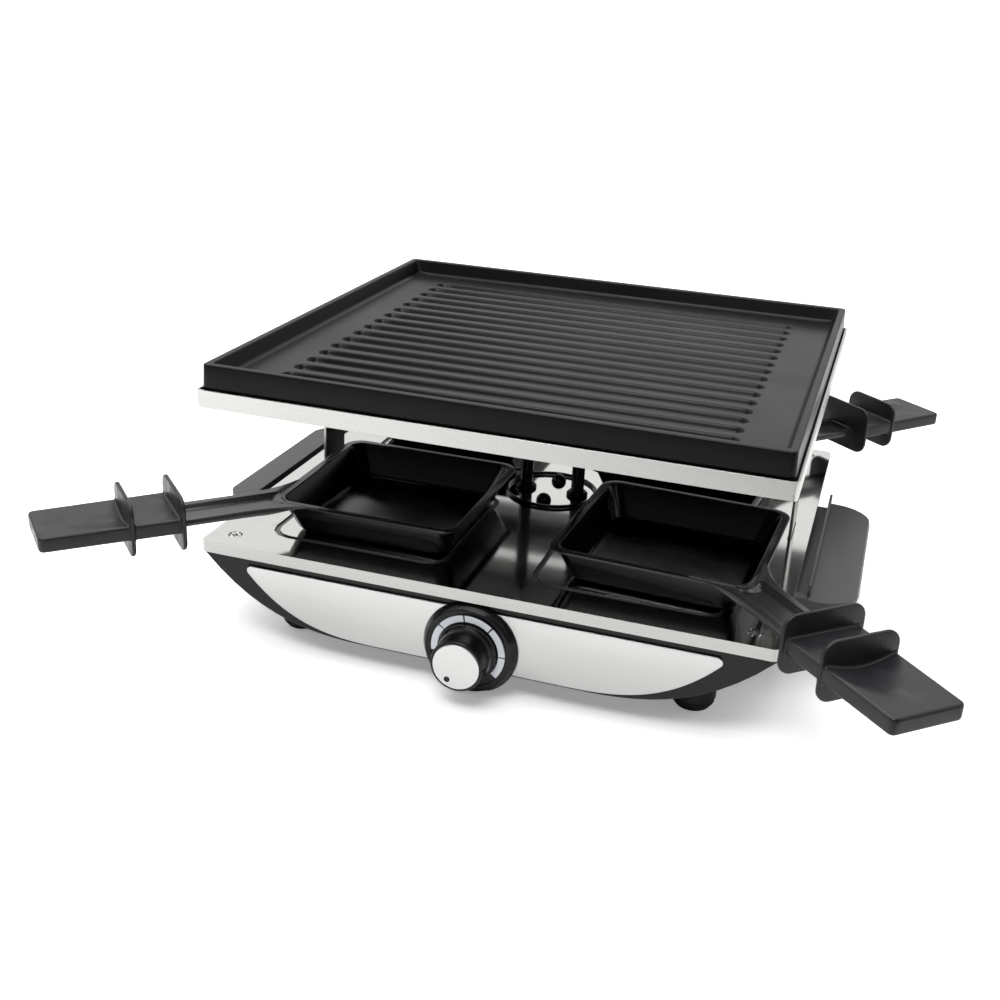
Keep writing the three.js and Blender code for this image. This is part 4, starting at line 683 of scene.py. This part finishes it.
def grill_plate():
    """The casting as one carried profile, sixteen grooves and four studs.

    The first row is the edge of the grooved field. Each row after it is a rounded rectangle at the
    inset and the height of one point of the profile, and the last row closes in the middle.
    """
    low, high = box_mm("grill_plate")
    width, depth, top = high[0] - low[0], high[1] - low[1], high[2]
    floor = top - FLOOR_BELOW_RIM
    foot = box_mm("heater_housing")[1][2] + PLATE_GAP
    under = foot - STEP_DEPTH
    profile = rounded_line(
        [(14, floor), (WALL_FOOT, floor), (RIM_INSET + RIM_THICKNESS, top), (RIM_INSET, top), (0, foot),
         (STEP_INSET, foot), (STEP_INSET, under), (60, under)], [2.4, 0.9, 0.9, 0.6, 0.3, 0.8], 4)
    loop, counts = plate_floor_edge()
    rows = [np.column_stack([loop, np.full(len(loop), floor)])]
    for inset, height in profile[1:]:
        radius = max(OUTER_CORNER - inset, LEAST_CORNER) if inset < WALL_FOOT - 0.1 else INNER_CORNER
        ring = plate_ring(width - 2 * inset, depth - 2 * inset, radius, counts)
        rows.append(np.column_stack([ring, np.full(len(ring), height)]))
    rows.append(rows[-1] * np.array([0, 0, 1]))
    cells = [groove_cell(GROOVE_PITCH * (row - (GROOVES - 1) / 2), floor) for row in range(GROOVES)]
    stud = rounded_line([(0, foot), (STUD_RADIUS, foot), (STUD_RADIUS, low[2]), (0, low[2])], [0, 0.8])
    x, y = width / 2 - STUD_INSET, depth / 2 - STUD_INSET
    studs = [spun(stud, (sx * x, sy * y), 32) for sx in (-1, 1) for sy in (-1, 1)]
    skins = [(grid, False) for grid in [np.stack(rows)] + cells + studs]
    drawn("grill_plate_cast", skins, cast_coating, "grill_plate")


grill_plate()

# %% [markdown]
# The pans
#
# A pan is pressed from one sheet: a square tray with a narrow flange and, at one corner, a shank. The
# shank flares out of two sides of the tray, and it is stiffened by a channel down its middle and by
# edges that turn down. So its height at a point depends on two things: how far out the point is, and
# how far from the middle line. The shank is a piece of its own, because it is less glossy than the tray
# and lighter in colour, a painted sheen for the light that its ridges catch.
# The pan is drawn with its handle along X and then turned and moved to its bay. The direction comes
# from the joint that pulls the pan out, and the place from the solid's own points.

# %% Where the pans sit
PANS = ("front_left", "front_right", "rear_right", "rear_left")
TANG_END = 150.0  # the end of the shank's tang, from the pan's middle


def pan_place(place):
    """Turn in radians and middle in mm of one pan, from its joint and the reach of its tang."""
    joint = next(j for j in frame["joints"] if j["name"] == "pan_" + place + "_pull")
    along = np.array(joint["axis"][:2], float)
    across = np.array([-along[1], along[0]])
    points = points_mm(nodes["pan_tray_" + place].data)[:, :2]
    sideways = points @ across
    middle = along * ((points @ along).max() - TANG_END) + across * (sideways.max() + sideways.min()) / 2
    return math.atan2(along[1], along[0]), middle


def at_pan(skins, place):
    """Skins drawn with the handle along X, turned by the pan's angle and moved to its middle."""
    turn, middle = pan_place(place)
    c, s = math.cos(turn), math.sin(turn)
    moved = []
    for grid, closed in skins:
        x, y, z = np.moveaxis(grid, -1, 0)
        moved.append((np.stack([middle[0] + c * x - s * y, middle[1] + s * x + c * y, z], -1), closed))
    return moved


# %% Pan trays and shanks
PAN_SIZE = 101.0
PAN_CORNER, PAN_INNER_CORNER = 10.0, 7.0
PAN_BOTTOM, PAN_RIM = 55.7, 74.5
PAN_SHEET = 1.2
PAN_SHARP = 40  # trays, shanks and grips are shaded smooth up to this angle
FLANGE = 4.3  # width of the flange
FLOOR_INSET = 11.3  # the tray's floor starts this far inside the flange's edge
SHANK_HALF = 12.0
SHANK_TOP = 75.5
SHANK_END = 119.0
FLARE_START, FLARE_CONTROL, FLARE_END = (50, 21.2), (60, SHANK_HALF), (90, SHANK_HALF)
CHANNEL_HALF, CHANNEL_WIDE = 5.8, 8.0  # half the channel's width at its floor and at its top
CHANNEL_DEPTH = 2.2
ROOT_INSET, ROOT_GAP = 2.6, 0.05  # where the shank starts on the flange, and how far above it
EDGE_DROP, EDGE_WIDTH = 3.0, 1.1  # how far the edges turn down, and over what width
TANG_HALF, TANG_THICKNESS, TANG_EDGE = 8.0, 2.4, 0.4


def tray_surface():
    """The tray as one closed skin, with its corner turned towards the handle.

    The profile goes from the middle over the floor, the wall and the flange, and back under them.
    A turn by 45 degrees makes x and y into x - y and x + y, times the root of one half.
    """
    half = PAN_SIZE / 2
    inside, lip = PAN_BOTTOM + PAN_SHEET, PAN_RIM - PAN_SHEET
    profile = rounded_line(
        [(half, inside), (FLOOR_INSET, inside), (FLANGE, PAN_RIM), (0, PAN_RIM), (0, lip),
         (FLANGE - PAN_SHEET, lip), (FLOOR_INSET - PAN_SHEET, PAN_BOTTOM), (half, PAN_BOTTOM)],
        [4.0, 0.8, 0.5, 0.5, 1.0, 5.0], 6)
    points = carried_round(PAN_SIZE, PAN_SIZE, PAN_CORNER, profile, 14, PAN_INNER_CORNER)
    x, y, z = np.moveaxis(points, -1, 0)
    c = math.sqrt(0.5)
    return np.stack([c * (x - y), c * (x + y), z], -1)


def shank_half(x):
    """Half the shank's width at x.

    The outline is a curve with one control point, which is start (1 - t)^2 + control 2 t (1 - t) +
    end t^2, and goes straight on from its end.
    """
    t = np.linspace(0, 1, 60)[:, None]
    start, control, end = np.array([FLARE_START, FLARE_CONTROL, FLARE_END])
    curve = (1 - t) ** 2 * start + 2 * t * (1 - t) * control + t**2 * end
    return np.interp(x, curve[:, 0], curve[:, 1])


def shank_surface():
    """The shank as a closed skin: rows go out along it, and each loop runs over the top and back.

    Where a row starts depends on the width there and the other way round, so both are found by
    going to and fro between them. The height is a rise from the flange to the shank's top, less the
    channel's depth near the middle line, less a quarter of a round at the edges.
    """
    out = np.concatenate([np.linspace(0, 0.35, 26)[:-1], np.linspace(0.35, 1, 26)])[:, None]
    across = np.sin(np.linspace(-math.pi / 2, math.pi / 2, 91))[None, :]
    inner = PAN_SIZE / 2 - ROOT_INSET
    radius = PAN_CORNER - ROOT_INSET
    middle = (inner - radius) * math.sqrt(2)
    x = np.full((len(out), across.shape[1]), 70.0)
    for _ in range(25):
        side = across * shank_half(x)
        close = np.abs(side) < radius * math.sqrt(0.5)
        on_corner = middle + np.sqrt(np.maximum(radius**2 - side**2, 0))
        start = np.where(close, on_corner, math.sqrt(2) * inner - np.abs(side))
        x = start + (SHANK_END - start) * out
    half = shank_half(x)
    rise = PAN_RIM + ROOT_GAP + (SHANK_TOP - PAN_RIM - ROOT_GAP) * ease(x - start, 0.0, 7.0)
    channel = (1 - ease(np.abs(side), CHANNEL_HALF, CHANNEL_WIDE)) * ease(x - start, 2.4, 6.0)
    close_to_edge = np.clip((np.abs(side) - (half - EDGE_WIDTH)) / EDGE_WIDTH, 0, 1)
    turned_down = ease(x - start, 1.5, 22.0)
    drop = (1 - np.sqrt(1 - close_to_edge**2)) * EDGE_DROP * turned_down
    top = rise - CHANNEL_DEPTH * channel - drop
    under_side = side * (half - PAN_SHEET) / half
    under = top - PAN_SHEET * (1 - close_to_edge * turned_down)
    upper = np.stack([x, side, top], -1)
    lower = np.stack([x, under_side, under], -1)[:, ::-1]
    return np.concatenate([upper, lower], 1)


def tang_surface():
    """The flat end of the shank that the grip is moulded on: a bar along X with round edges."""
    start, low = SHANK_END - 2, SHANK_TOP - CHANNEL_DEPTH
    high = low + TANG_THICKNESS
    middle = (high - low) / 2
    profile = rounded_line([(middle, start), (0, start), (0, TANG_END), (middle, TANG_END)],
                           [TANG_EDGE, TANG_EDGE], 3)
    points = carried_round(2 * TANG_HALF, high - low, TANG_EDGE, profile, 4)
    return np.stack([points[..., 2], points[..., 0], points[..., 1] + (low + high) / 2], -1)


for place in PANS:
    name = "pan_tray_" + place
    tray = at_pan([(tray_surface(), False)], place)
    shank = at_pan([(shank_surface(), True), (tang_surface(), False)], place)
    drawn("pressed_" + name, tray, pan_coating, name, PAN_SHARP)
    drawn("pressed_shank_" + place, shank, shank_painted_sheen, name, PAN_SHARP, replaces=False)

# %% [markdown]
# The grips
#
# A grip is a moulded bar with two upright fins that keep fingers off the hot shank, and a shallow dip
# for the thumb beyond the outer fin. The bar's section is a rounded rectangle. Near a fin it grows by
# r - sqrt(r^2 - (r - d)^2), where d is the distance from the fin and r the fillet's radius.
# The dip is deepest at the outer fin. Its depth falls as (1 - s)^1.4, where s is the square of the
# distance along, as a share of the reach, plus that of the distance across. The power over 1 lets the
# edge of the dip fade without a crease.

# %% Grips
GRIP_START, GRIP_END = 117.6, 184.4
GRIP_LOW, GRIP_TOP = 71.8, 79.4
GRIP_HALF_START, GRIP_HALF_END = 18.8, 17.6
GRIP_EDGE, GRIP_CORNER = 1.5, 3.0
FINS = ((117.6, 20.8), (141.3, 19.2))  # start and half width of each fin
FIN_THICKNESS = 2.0
FIN_LOW, FIN_HIGH = 61.9, 89.9
FIN_CORNER, FIN_EDGE = 7.0, 0.7
FILLET = 1.1
DIP_DEPTH, DIP_REACH, DIP_HALF = 3.4, 36.0, 17.6


def rounding(distance, radius):
    """How far a quarter circle has fallen at a distance along it."""
    return radius - np.sqrt(np.maximum(radius**2 - distance**2, 0))


def grip_bar():
    """The bar with its fillets, its dip and its rounded end.

    Its half width and its thickness change along x, and each section is four quarter rounds with
    straight stretches between them.
    """
    fins = [edge for start, _ in FINS for edge in (start, start + FIN_THICKNESS)]
    near = np.concatenate([edge + np.linspace(-1, 1, 15) * FILLET for edge in fins])
    end = GRIP_END - GRIP_CORNER * (1 - np.sin(np.linspace(0, math.pi / 2, 12)))
    between = np.linspace(FINS[0][0] + 3.5, FINS[1][0] - 1.5, 8)
    beyond = np.linspace(FINS[1][0] + 3.4, GRIP_END - GRIP_CORNER, 46)
    x = np.unique(np.concatenate([near, beyond, between, end]))
    x = x[x >= GRIP_START + 0.5][:, None]
    distance = np.min([np.abs(x - edge) for edge in fins], axis=0)
    grown = rounding(np.maximum(FILLET - distance, 0), FILLET)
    share = (x - GRIP_START) / (GRIP_END - GRIP_START)
    half = GRIP_HALF_START + (GRIP_HALF_END - GRIP_HALF_START) * share + grown / 2
    half = half - rounding(np.clip(x - (GRIP_END - GRIP_CORNER), 0, GRIP_CORNER), GRIP_CORNER)
    thin = rounding(np.clip(x - (GRIP_END - GRIP_EDGE), 0, GRIP_EDGE), GRIP_EDGE) - grown
    top, low = GRIP_TOP - thin, GRIP_LOW + thin
    quarter = np.linspace(0, math.pi / 2, 6)
    c, s = GRIP_EDGE * np.cos(quarter), GRIP_EDGE * np.sin(quarter)
    flat = np.linspace(1, -1, 45)[1:-1]
    inner = half - GRIP_EDGE
    right = np.concatenate([inner + c, inner * flat, -inner - s], 1)
    left = np.concatenate([-inner - c, inner * flat[::-1], inner + s], 1)
    crown, keel = top - GRIP_EDGE, low + GRIP_EDGE
    up = np.concatenate([crown + s, top + 0 * flat, crown + c], 1)
    down = np.concatenate([keel - s, low + 0 * flat, keel - c], 1)
    spread = ((x - FINS[1][0]) / DIP_REACH) ** 2 + (right / DIP_HALF) ** 2
    dip = DIP_DEPTH * np.maximum(1 - spread, 0) ** 1.4
    up = np.where(x > FINS[1][0] + FIN_THICKNESS / 2, up - dip, up)
    across, height = np.hstack([right, left]), np.hstack([up, down])
    return np.stack([np.broadcast_to(x, across.shape), across, height], -1)


def grip_fin(start, half):
    """One fin: a rounded plate across the grip, thin along it, with round edges."""
    end = start + FIN_THICKNESS
    middle = (FIN_HIGH - FIN_LOW) / 2
    profile = rounded_line([(middle, start), (0, start), (0, end), (middle, end)], [FIN_EDGE, FIN_EDGE], 4)
    points = carried_round(2 * half, FIN_HIGH - FIN_LOW, FIN_CORNER, profile, 12)
    return np.stack([points[..., 2], points[..., 0], points[..., 1] + (FIN_LOW + FIN_HIGH) / 2], -1)


for place in PANS:
    name = "pan_grip_" + place
    skins = [(grip_bar(), True)] + [(grip_fin(start, half), False) for start, half in FINS]
    drawn("moulded_" + name, at_pan(skins, place), grip_plastic, name, PAN_SHARP)

# %% [markdown]
# The control
#
# Bezel, knob and cap are round about one axis. They could be built up from cylinders, but a turned
# profile gives every radius and every rounded edge at once. The dial is a ring of five pale pieces in
# a shallow track, and the dark gaps between them are the track's own floor.

# %% Bezel, dial, knob and cap
KNOB_Z = box_mm("knob_shaft")[:, 2].mean()
BEZEL_BACK, BEZEL_FRONT, BEZEL_HOLE = 24.4, 21.8, 5.0  # radii
TRACK_DEPTH, TRACK_GAP = 0.7, 0.25
DIAL_INNER, DIAL_OUTER = 15.5, 18.8
DIAL_SUNK, DIAL_THICKNESS = 0.15, 0.5
DIAL_TICKS = (190.0, 143.0, 98.0, 50.5, -0.6, -40.0)  # degrees, from the right and round upwards
TICK_GAP = 1.3
SKIRT_RADIUS, KNOB_WAIST, KNOB_FRONT, CAP_SEAT, CAP_RADIUS = 14.8, 13.7, 13.1, 11.9, 11.6
DOT_RADIUS, DOT_REACH, DOT_ANGLE = 1.5, 8.2, 240
FINE_TURN = 128


def bezel_surface():
    """A low cone with a track for the dial, turned as one profile round the knob's axis.

    Points that would lie lower than the solid does are lifted to its lowest point.
    """
    low, high = box_mm("bezel")
    back, front = high[1], low[1]
    track = front + TRACK_DEPTH
    outer, inner = DIAL_OUTER + TRACK_GAP, DIAL_INNER - TRACK_GAP
    profile = rounded_line(
        [(BEZEL_HOLE, back), (BEZEL_BACK, back), (BEZEL_FRONT, front), (outer, front), (outer, track),
         (inner, track), (inner, front), (BEZEL_HOLE, front), (BEZEL_HOLE, back)],
        [0.3, 1.0, 0.15, 0, 0, 0.15, 0.2], 5)
    points = spun(profile, (0, KNOB_Z), FINE_TURN, True)
    points[..., 2] = np.maximum(points[..., 2], low[2])
    return points


def dial_piece(start, end):
    """One pale piece of the dial, from one angle to the next, seen from the front."""
    front = box_mm("bezel")[0][1] + DIAL_SUNK
    back = front + DIAL_THICKNESS
    angle = np.radians(np.linspace(start - TICK_GAP, end + TICK_GAP, 24))[:, None]
    radius = np.array([DIAL_INNER, DIAL_OUTER, DIAL_OUTER, DIAL_INNER])[None, :]
    y = np.array([front, front, back, back])[None, :] + 0 * angle
    return np.stack([radius * np.cos(angle), y, KNOB_Z + radius * np.sin(angle)], -1)


def knob_surface():
    """A skirt, a body that tapers towards the front, and a seat for the cap, as one turned profile."""
    front, back = box_mm("knob_body")[:, 1]
    seat = front + 0.9
    profile = rounded_line(
        [(0, back), (SKIRT_RADIUS, back), (SKIRT_RADIUS, back - 2.0), (KNOB_WAIST, back - 2.6),
         (KNOB_FRONT, front), (CAP_SEAT, front), (CAP_SEAT, seat), (0, seat)],
        [0.3, 0.6, 0.8, 0.85, 0.15, 0], 6)
    return spun(profile, (0, KNOB_Z), FINE_TURN, True)


def cap_surface():
    """A disc with a very flat dome, as one turned profile."""
    front, back = box_mm("knob_cap")[:, 1]
    profile = rounded_line(
        [(0, back), (CAP_RADIUS, back), (CAP_RADIUS, front + 0.25), (8, front + 0.05), (0, front)],
        [0, 0.3, 3.0], 6)
    return spun(profile, (0, KNOB_Z), FINE_TURN, True)


def dot_surface():
    """The dark dot on the cap: a small disc, its reach from the knob's axis at its own angle."""
    front = box_mm("knob_cap")[0][1] + 0.02
    back, edge, angle = front + 0.3, DOT_RADIUS - 0.3, math.radians(DOT_ANGLE)
    profile = [(0, back), (DOT_RADIUS, back), (DOT_RADIUS, front), (edge, front - 0.02), (0, front)]
    return spun(profile, (DOT_REACH * math.cos(angle), KNOB_Z + DOT_REACH * math.sin(angle)), 32, True)


dial = [(dial_piece(start, end), True) for start, end in zip(DIAL_TICKS[:-1], DIAL_TICKS[1:])]
drawn("moulded_bezel", [(bezel_surface(), False)], gloss_plastic, "bezel")
drawn("dial_pieces", dial, dial_print, "dial_ring")
drawn("moulded_knob", [(knob_surface(), False)], gloss_plastic, "knob_body")
drawn("turned_cap", [(cap_surface(), False)], cap_silver, "knob_cap")
drawn("cap_dot", [(dot_surface(), False)], gloss_plastic, "knob_cap", replaces=False,
      slot=slot_of("knob_body"))

# %% [markdown]
# The fascias
#
# Front and back carry a bright sheet in the shape of half a lens: a straight top, and a bottom that is
# flat in the middle and rises by a power of the share of the way out. Each tip is a small arc that
# touches the rising edge and the straight top. The sheet is flat, so its outline is drawn once and
# repeated from the inner face to the outer one, a little smaller where the edge is rounded.

# %% Fascias
FASCIA_TOP, FASCIA_BOTTOM = 44.4, 13.0
FASCIA_HALF, FASCIA_FLAT = 120.5, 44.0
FASCIA_RISE, FASCIA_POWER = 27.8, 3.0
TIP_RADIUS, TIP_START = 2.6, 1.1
FASCIA_EDGE = 0.4


def lens_loop():
    """The outline of a fascia as a loop of (x, z), from the middle of the bottom to the right.

    The height of the bottom edge is its lowest point plus the rise times share to a power, where
    share is the part of the way from the end of the flat stretch to the tip.
    """
    x = np.concatenate([[0.0], np.linspace(FASCIA_FLAT, FASCIA_HALF - TIP_START, 40)])
    share = np.clip((x - FASCIA_FLAT) / (FASCIA_HALF - FASCIA_FLAT), 0, 1)
    z = FASCIA_BOTTOM + FASCIA_RISE * share**FASCIA_POWER
    slope = FASCIA_RISE * FASCIA_POWER / (FASCIA_HALF - FASCIA_FLAT)
    corner = x[-1] + (FASCIA_TOP - z[-1]) / slope
    tip = rounded_line([(x[-1], z[-1]), (corner, FASCIA_TOP), (0, FASCIA_TOP)], [TIP_RADIUS], 10)
    right = np.vstack([np.column_stack([x, z])[:-1], tip[1:]])
    left = right[::-1][1:-1] * np.array([-1, 1])
    return np.vstack([right, left])


def fascia_surface(node):
    """The sheet from its inner face out to a rounded edge and its outer face.

    At the angle a round the edge, the outline is drawn in by the edge's radius times 1 - cos a, and
    lies behind the outer face by the radius times 1 - sin a.
    """
    low, high = box_mm(node)
    outer, inner = (low[1], high[1]) if low[1] < 0 else (high[1], low[1])
    towards = 1 if outer > inner else -1
    loop = lens_loop()
    ahead = np.roll(loop, -1, 0) - np.roll(loop, 1, 0)
    inward = np.column_stack([-ahead[:, 1], ahead[:, 0]]) / np.linalg.norm(ahead, axis=1)[:, None]
    angle = np.linspace(0, math.pi / 2, 5)
    insets = FASCIA_EDGE * (1 - np.cos(angle))
    depths = outer - towards * FASCIA_EDGE * (1 - np.sin(angle))
    rings = [(loop, inner)] + [(loop + inward * inset, depth) for inset, depth in zip(insets, depths)]
    return np.stack([np.stack([ring[:, 0], np.full(len(ring), y), ring[:, 1]], -1) for ring, y in rings])


for label in ("front_fascia", "rear_fascia"):
    drawn("sheet_" + label, [(fascia_surface(label), True)], fascia_steel, label)

# %% [markdown]
# Small round pieces
#
# These are turned profiles too, for the same reason. A foot is a rubber disc that tapers towards the
# table, with a pin that holds it in the base. A domed screw is a quarter of an ellipse over a shank.

# %% Feet and domed screws
FOOT_HEIGHT, FOOT_TAPER, FOOT_STRAIGHT = 5.0, 2.2, 3.0
PIN_RADIUS, SCREW_RADIUS = 3.0, 2.0
DOME_GAP = 0.05


def place_of(node):
    """Middle seen from above, radius, lowest and highest point of a round solid, in mm."""
    low, high = box_mm(node)
    return (low[:2] + high[:2]) / 2, (high[0] - low[0]) / 2, low[2], high[2]


for label in [n for n in nodes if n.startswith("foot_")]:
    middle, radius, low, high = place_of(label)
    profile = rounded_line(
        [(0, 0), (radius - FOOT_TAPER, 0), (radius, FOOT_STRAIGHT), (radius, FOOT_HEIGHT),
         (PIN_RADIUS, FOOT_HEIGHT), (PIN_RADIUS, high), (0, high)], [1.0, 1.6, 0.6, 0, 0.4], 4)
    drawn("moulded_" + label, [(spun(profile, middle, 48), False)], rubber, label)
for label in [n for n in nodes if n.startswith("dome_screw")]:
    middle, radius, low, high = place_of(label)
    seat = box_mm("base_top_plate")[1][2] + DOME_GAP
    angle = np.linspace(0, math.pi / 2, 10)
    dome = np.column_stack([radius * np.cos(angle), seat + (high - seat) * np.sin(angle)])
    dome[-1, 0] = 0
    profile = np.vstack([[(0, low), (SCREW_RADIUS, low), (SCREW_RADIUS, seat)], dome])
    # The domed screws are black partly as a painted reflection of the dark underside above them.
    drawn("turned_" + label, [(spun(profile, middle, 48), False)], black_steel_and_painted_reflection, label)

# %% [markdown]
# The camera
#
# A camera could be placed by eye, but here its place, direction and lens were worked out from the
# corners of the plate, the housing and the base, so the perspective is that of the reference.


# %% Camera, where the photographer stood
def look(yaw, pitch, roll, place, lens):
    """A camera at place in mm: yaw turns it about the vertical, pitch tips it down, roll tilts it."""
    level = math.cos(pitch)
    forward = np.array([-math.sin(yaw) * level, math.cos(yaw) * level, -math.sin(pitch)])
    right = np.array([math.cos(yaw), math.sin(yaw), 0.0])
    up = np.cross(right, forward)
    across = math.cos(roll) * right + math.sin(roll) * up
    above = -math.sin(roll) * right + math.cos(roll) * up
    data = bpy.data.cameras.new("camera")
    data.sensor_width = 36
    data.lens = lens
    data.clip_start, data.clip_end = 0.01, 100
    camera = bpy.data.objects.new("camera", data)
    matrix = np.eye(4)
    matrix[:3] = np.column_stack([across, above, -forward, np.array(place) * MM])
    camera.matrix_world = Matrix(matrix.tolist())
    scene.collection.objects.link(camera)
    scene.camera = camera


look(0.3018, 0.3988, 0.0480, (168.7, -638.9, 326.4), 45.32)
print("camera at", np.round(scene.camera.matrix_world.translation, 4).tolist())

# %% [markdown]
# The studio
#
# The grill stands on a white floor that fades into a white picture. The camera sees the floor glow,
# more so farther out, so the shadows stay close to the base. What the steel mirrors is different: a
# floor without glow, with painted shade that makes it darker to the right in front, and a sky that is
# dark in front and near the horizon and bright above and behind.

# %% Floor
FLOOR_HALF, FLOOR_Z = 6.0, -0.0002
FLOOR_WHITE = 0.90
floor_white = bpy.data.materials.new("studio floor")
floor_white.use_nodes = True
tree = floor_white.node_tree
shader = tree.nodes["Principled BSDF"]
shader.inputs["Roughness"].default_value = 0.9
shader.inputs["Emission Color"].default_value = (1, 1, 1, 1)
seen = add_node(tree, "LightPath").outputs["Is Camera Ray"]
ground = add_node(tree, "TexCoord").outputs["Object"]
far_off = add_node(tree, "VectorMath", operation="LENGTH")
tree.links.new(ground, far_off.inputs[0])
glow = remapped(tree, far_off.outputs["Value"], (0.15, 0.36), (0.28, 0.60))
tree.links.new(math_node(tree, "MULTIPLY", seen, glow), shader.inputs["Emission Strength"])
axes = add_node(tree, "SeparateXYZ")
tree.links.new(ground, axes.inputs[0])
# Painted shade on the floor, seen only in reflections: darker to the right in front of the grill.
to_right = remapped(tree, axes.outputs["X"], (-0.40, 0.40), (0.0, 0.65), smooth=False)
in_front = remapped(tree, axes.outputs["Y"], (-0.31, -0.37), (0.0, 1.0), smooth=False)
painted_light_share = math_node(tree, "SUBTRACT", 1.0, math_node(tree, "MULTIPLY", to_right, in_front))
white = add_node(tree, "Mix", [("B", FLOOR_WHITE)], data_type="FLOAT")
tree.links.new(seen, white.inputs["Factor"])
tree.links.new(math_node(tree, "MULTIPLY", painted_light_share, FLOOR_WHITE), white.inputs["A"])
tree.links.new(white.outputs["Result"], shader.inputs["Base Color"])

mesh = bpy.data.meshes.new("studio_floor")
corners = [(sx * FLOOR_HALF, sy * FLOOR_HALF, FLOOR_Z) for sx, sy in ((-1, -1), (1, -1), (1, 1), (-1, 1))]
mesh.from_pydata(corners, [], [(0, 1, 2, 3)])
mesh.materials.append(floor_white)
studio_floor = bpy.data.objects.new("studio_floor", mesh)
scene.collection.objects.link(studio_floor)
print("floor:", 2 * FLOOR_HALF, "m square")

# %% Sky and lights
SKY_BRIGHT = 1.15
world = bpy.data.worlds.new("studio")
scene.world = world
world.use_nodes = True
tree = world.node_tree
parts = add_node(tree, "SeparateXYZ")
tree.links.new(add_node(tree, "TexCoord").outputs["Generated"], parts.inputs[0])
backward = remapped(tree, parts.outputs["Y"], (-0.35, 0.25), (0.14, SKY_BRIGHT))
upward = remapped(tree, parts.outputs["Z"], (0.10, 0.36), (0.30, 1.0))
mirrored = math_node(tree, "MULTIPLY", backward, upward)
seen = add_node(tree, "LightPath").outputs["Is Camera Ray"]
strength = math_node(tree, "MAXIMUM", mirrored, math_node(tree, "MULTIPLY", seen, SKY_BRIGHT))
tree.links.new(strength, tree.nodes["Background"].inputs["Strength"])
tree.nodes["Background"].inputs["Color"].default_value = (1, 1, 1, 1)
scene.view_settings.view_transform = "Standard"


def softbox(name, place, target, size, power):
    """A rectangular area light that faces its target; all places in metres."""
    data = bpy.data.lights.new(name, "AREA")
    data.shape = "RECTANGLE"
    data.size, data.size_y = size
    data.energy = power
    lamp = bpy.data.objects.new(name, data)
    lamp.location = place
    lamp.rotation_euler = (Vector(target) - Vector(place)).to_track_quat("-Z", "Y").to_euler()
    scene.collection.objects.link(lamp)


softbox("top_light", (-0.3, 0.1, 1.6), (-0.05, -0.1, 0), (2.0, 2.0), 28)
softbox("left_light", (-1.5, -0.5, 0.9), (0, 0, 0.08), (0.9, 0.9), 3)
softbox("front_light", (-0.1, -1.0, 1.5), (-0.05, -0.1, 0), (0.9, 0.5), 14)
print("lights:", [lamp.name for lamp in bpy.data.lights])
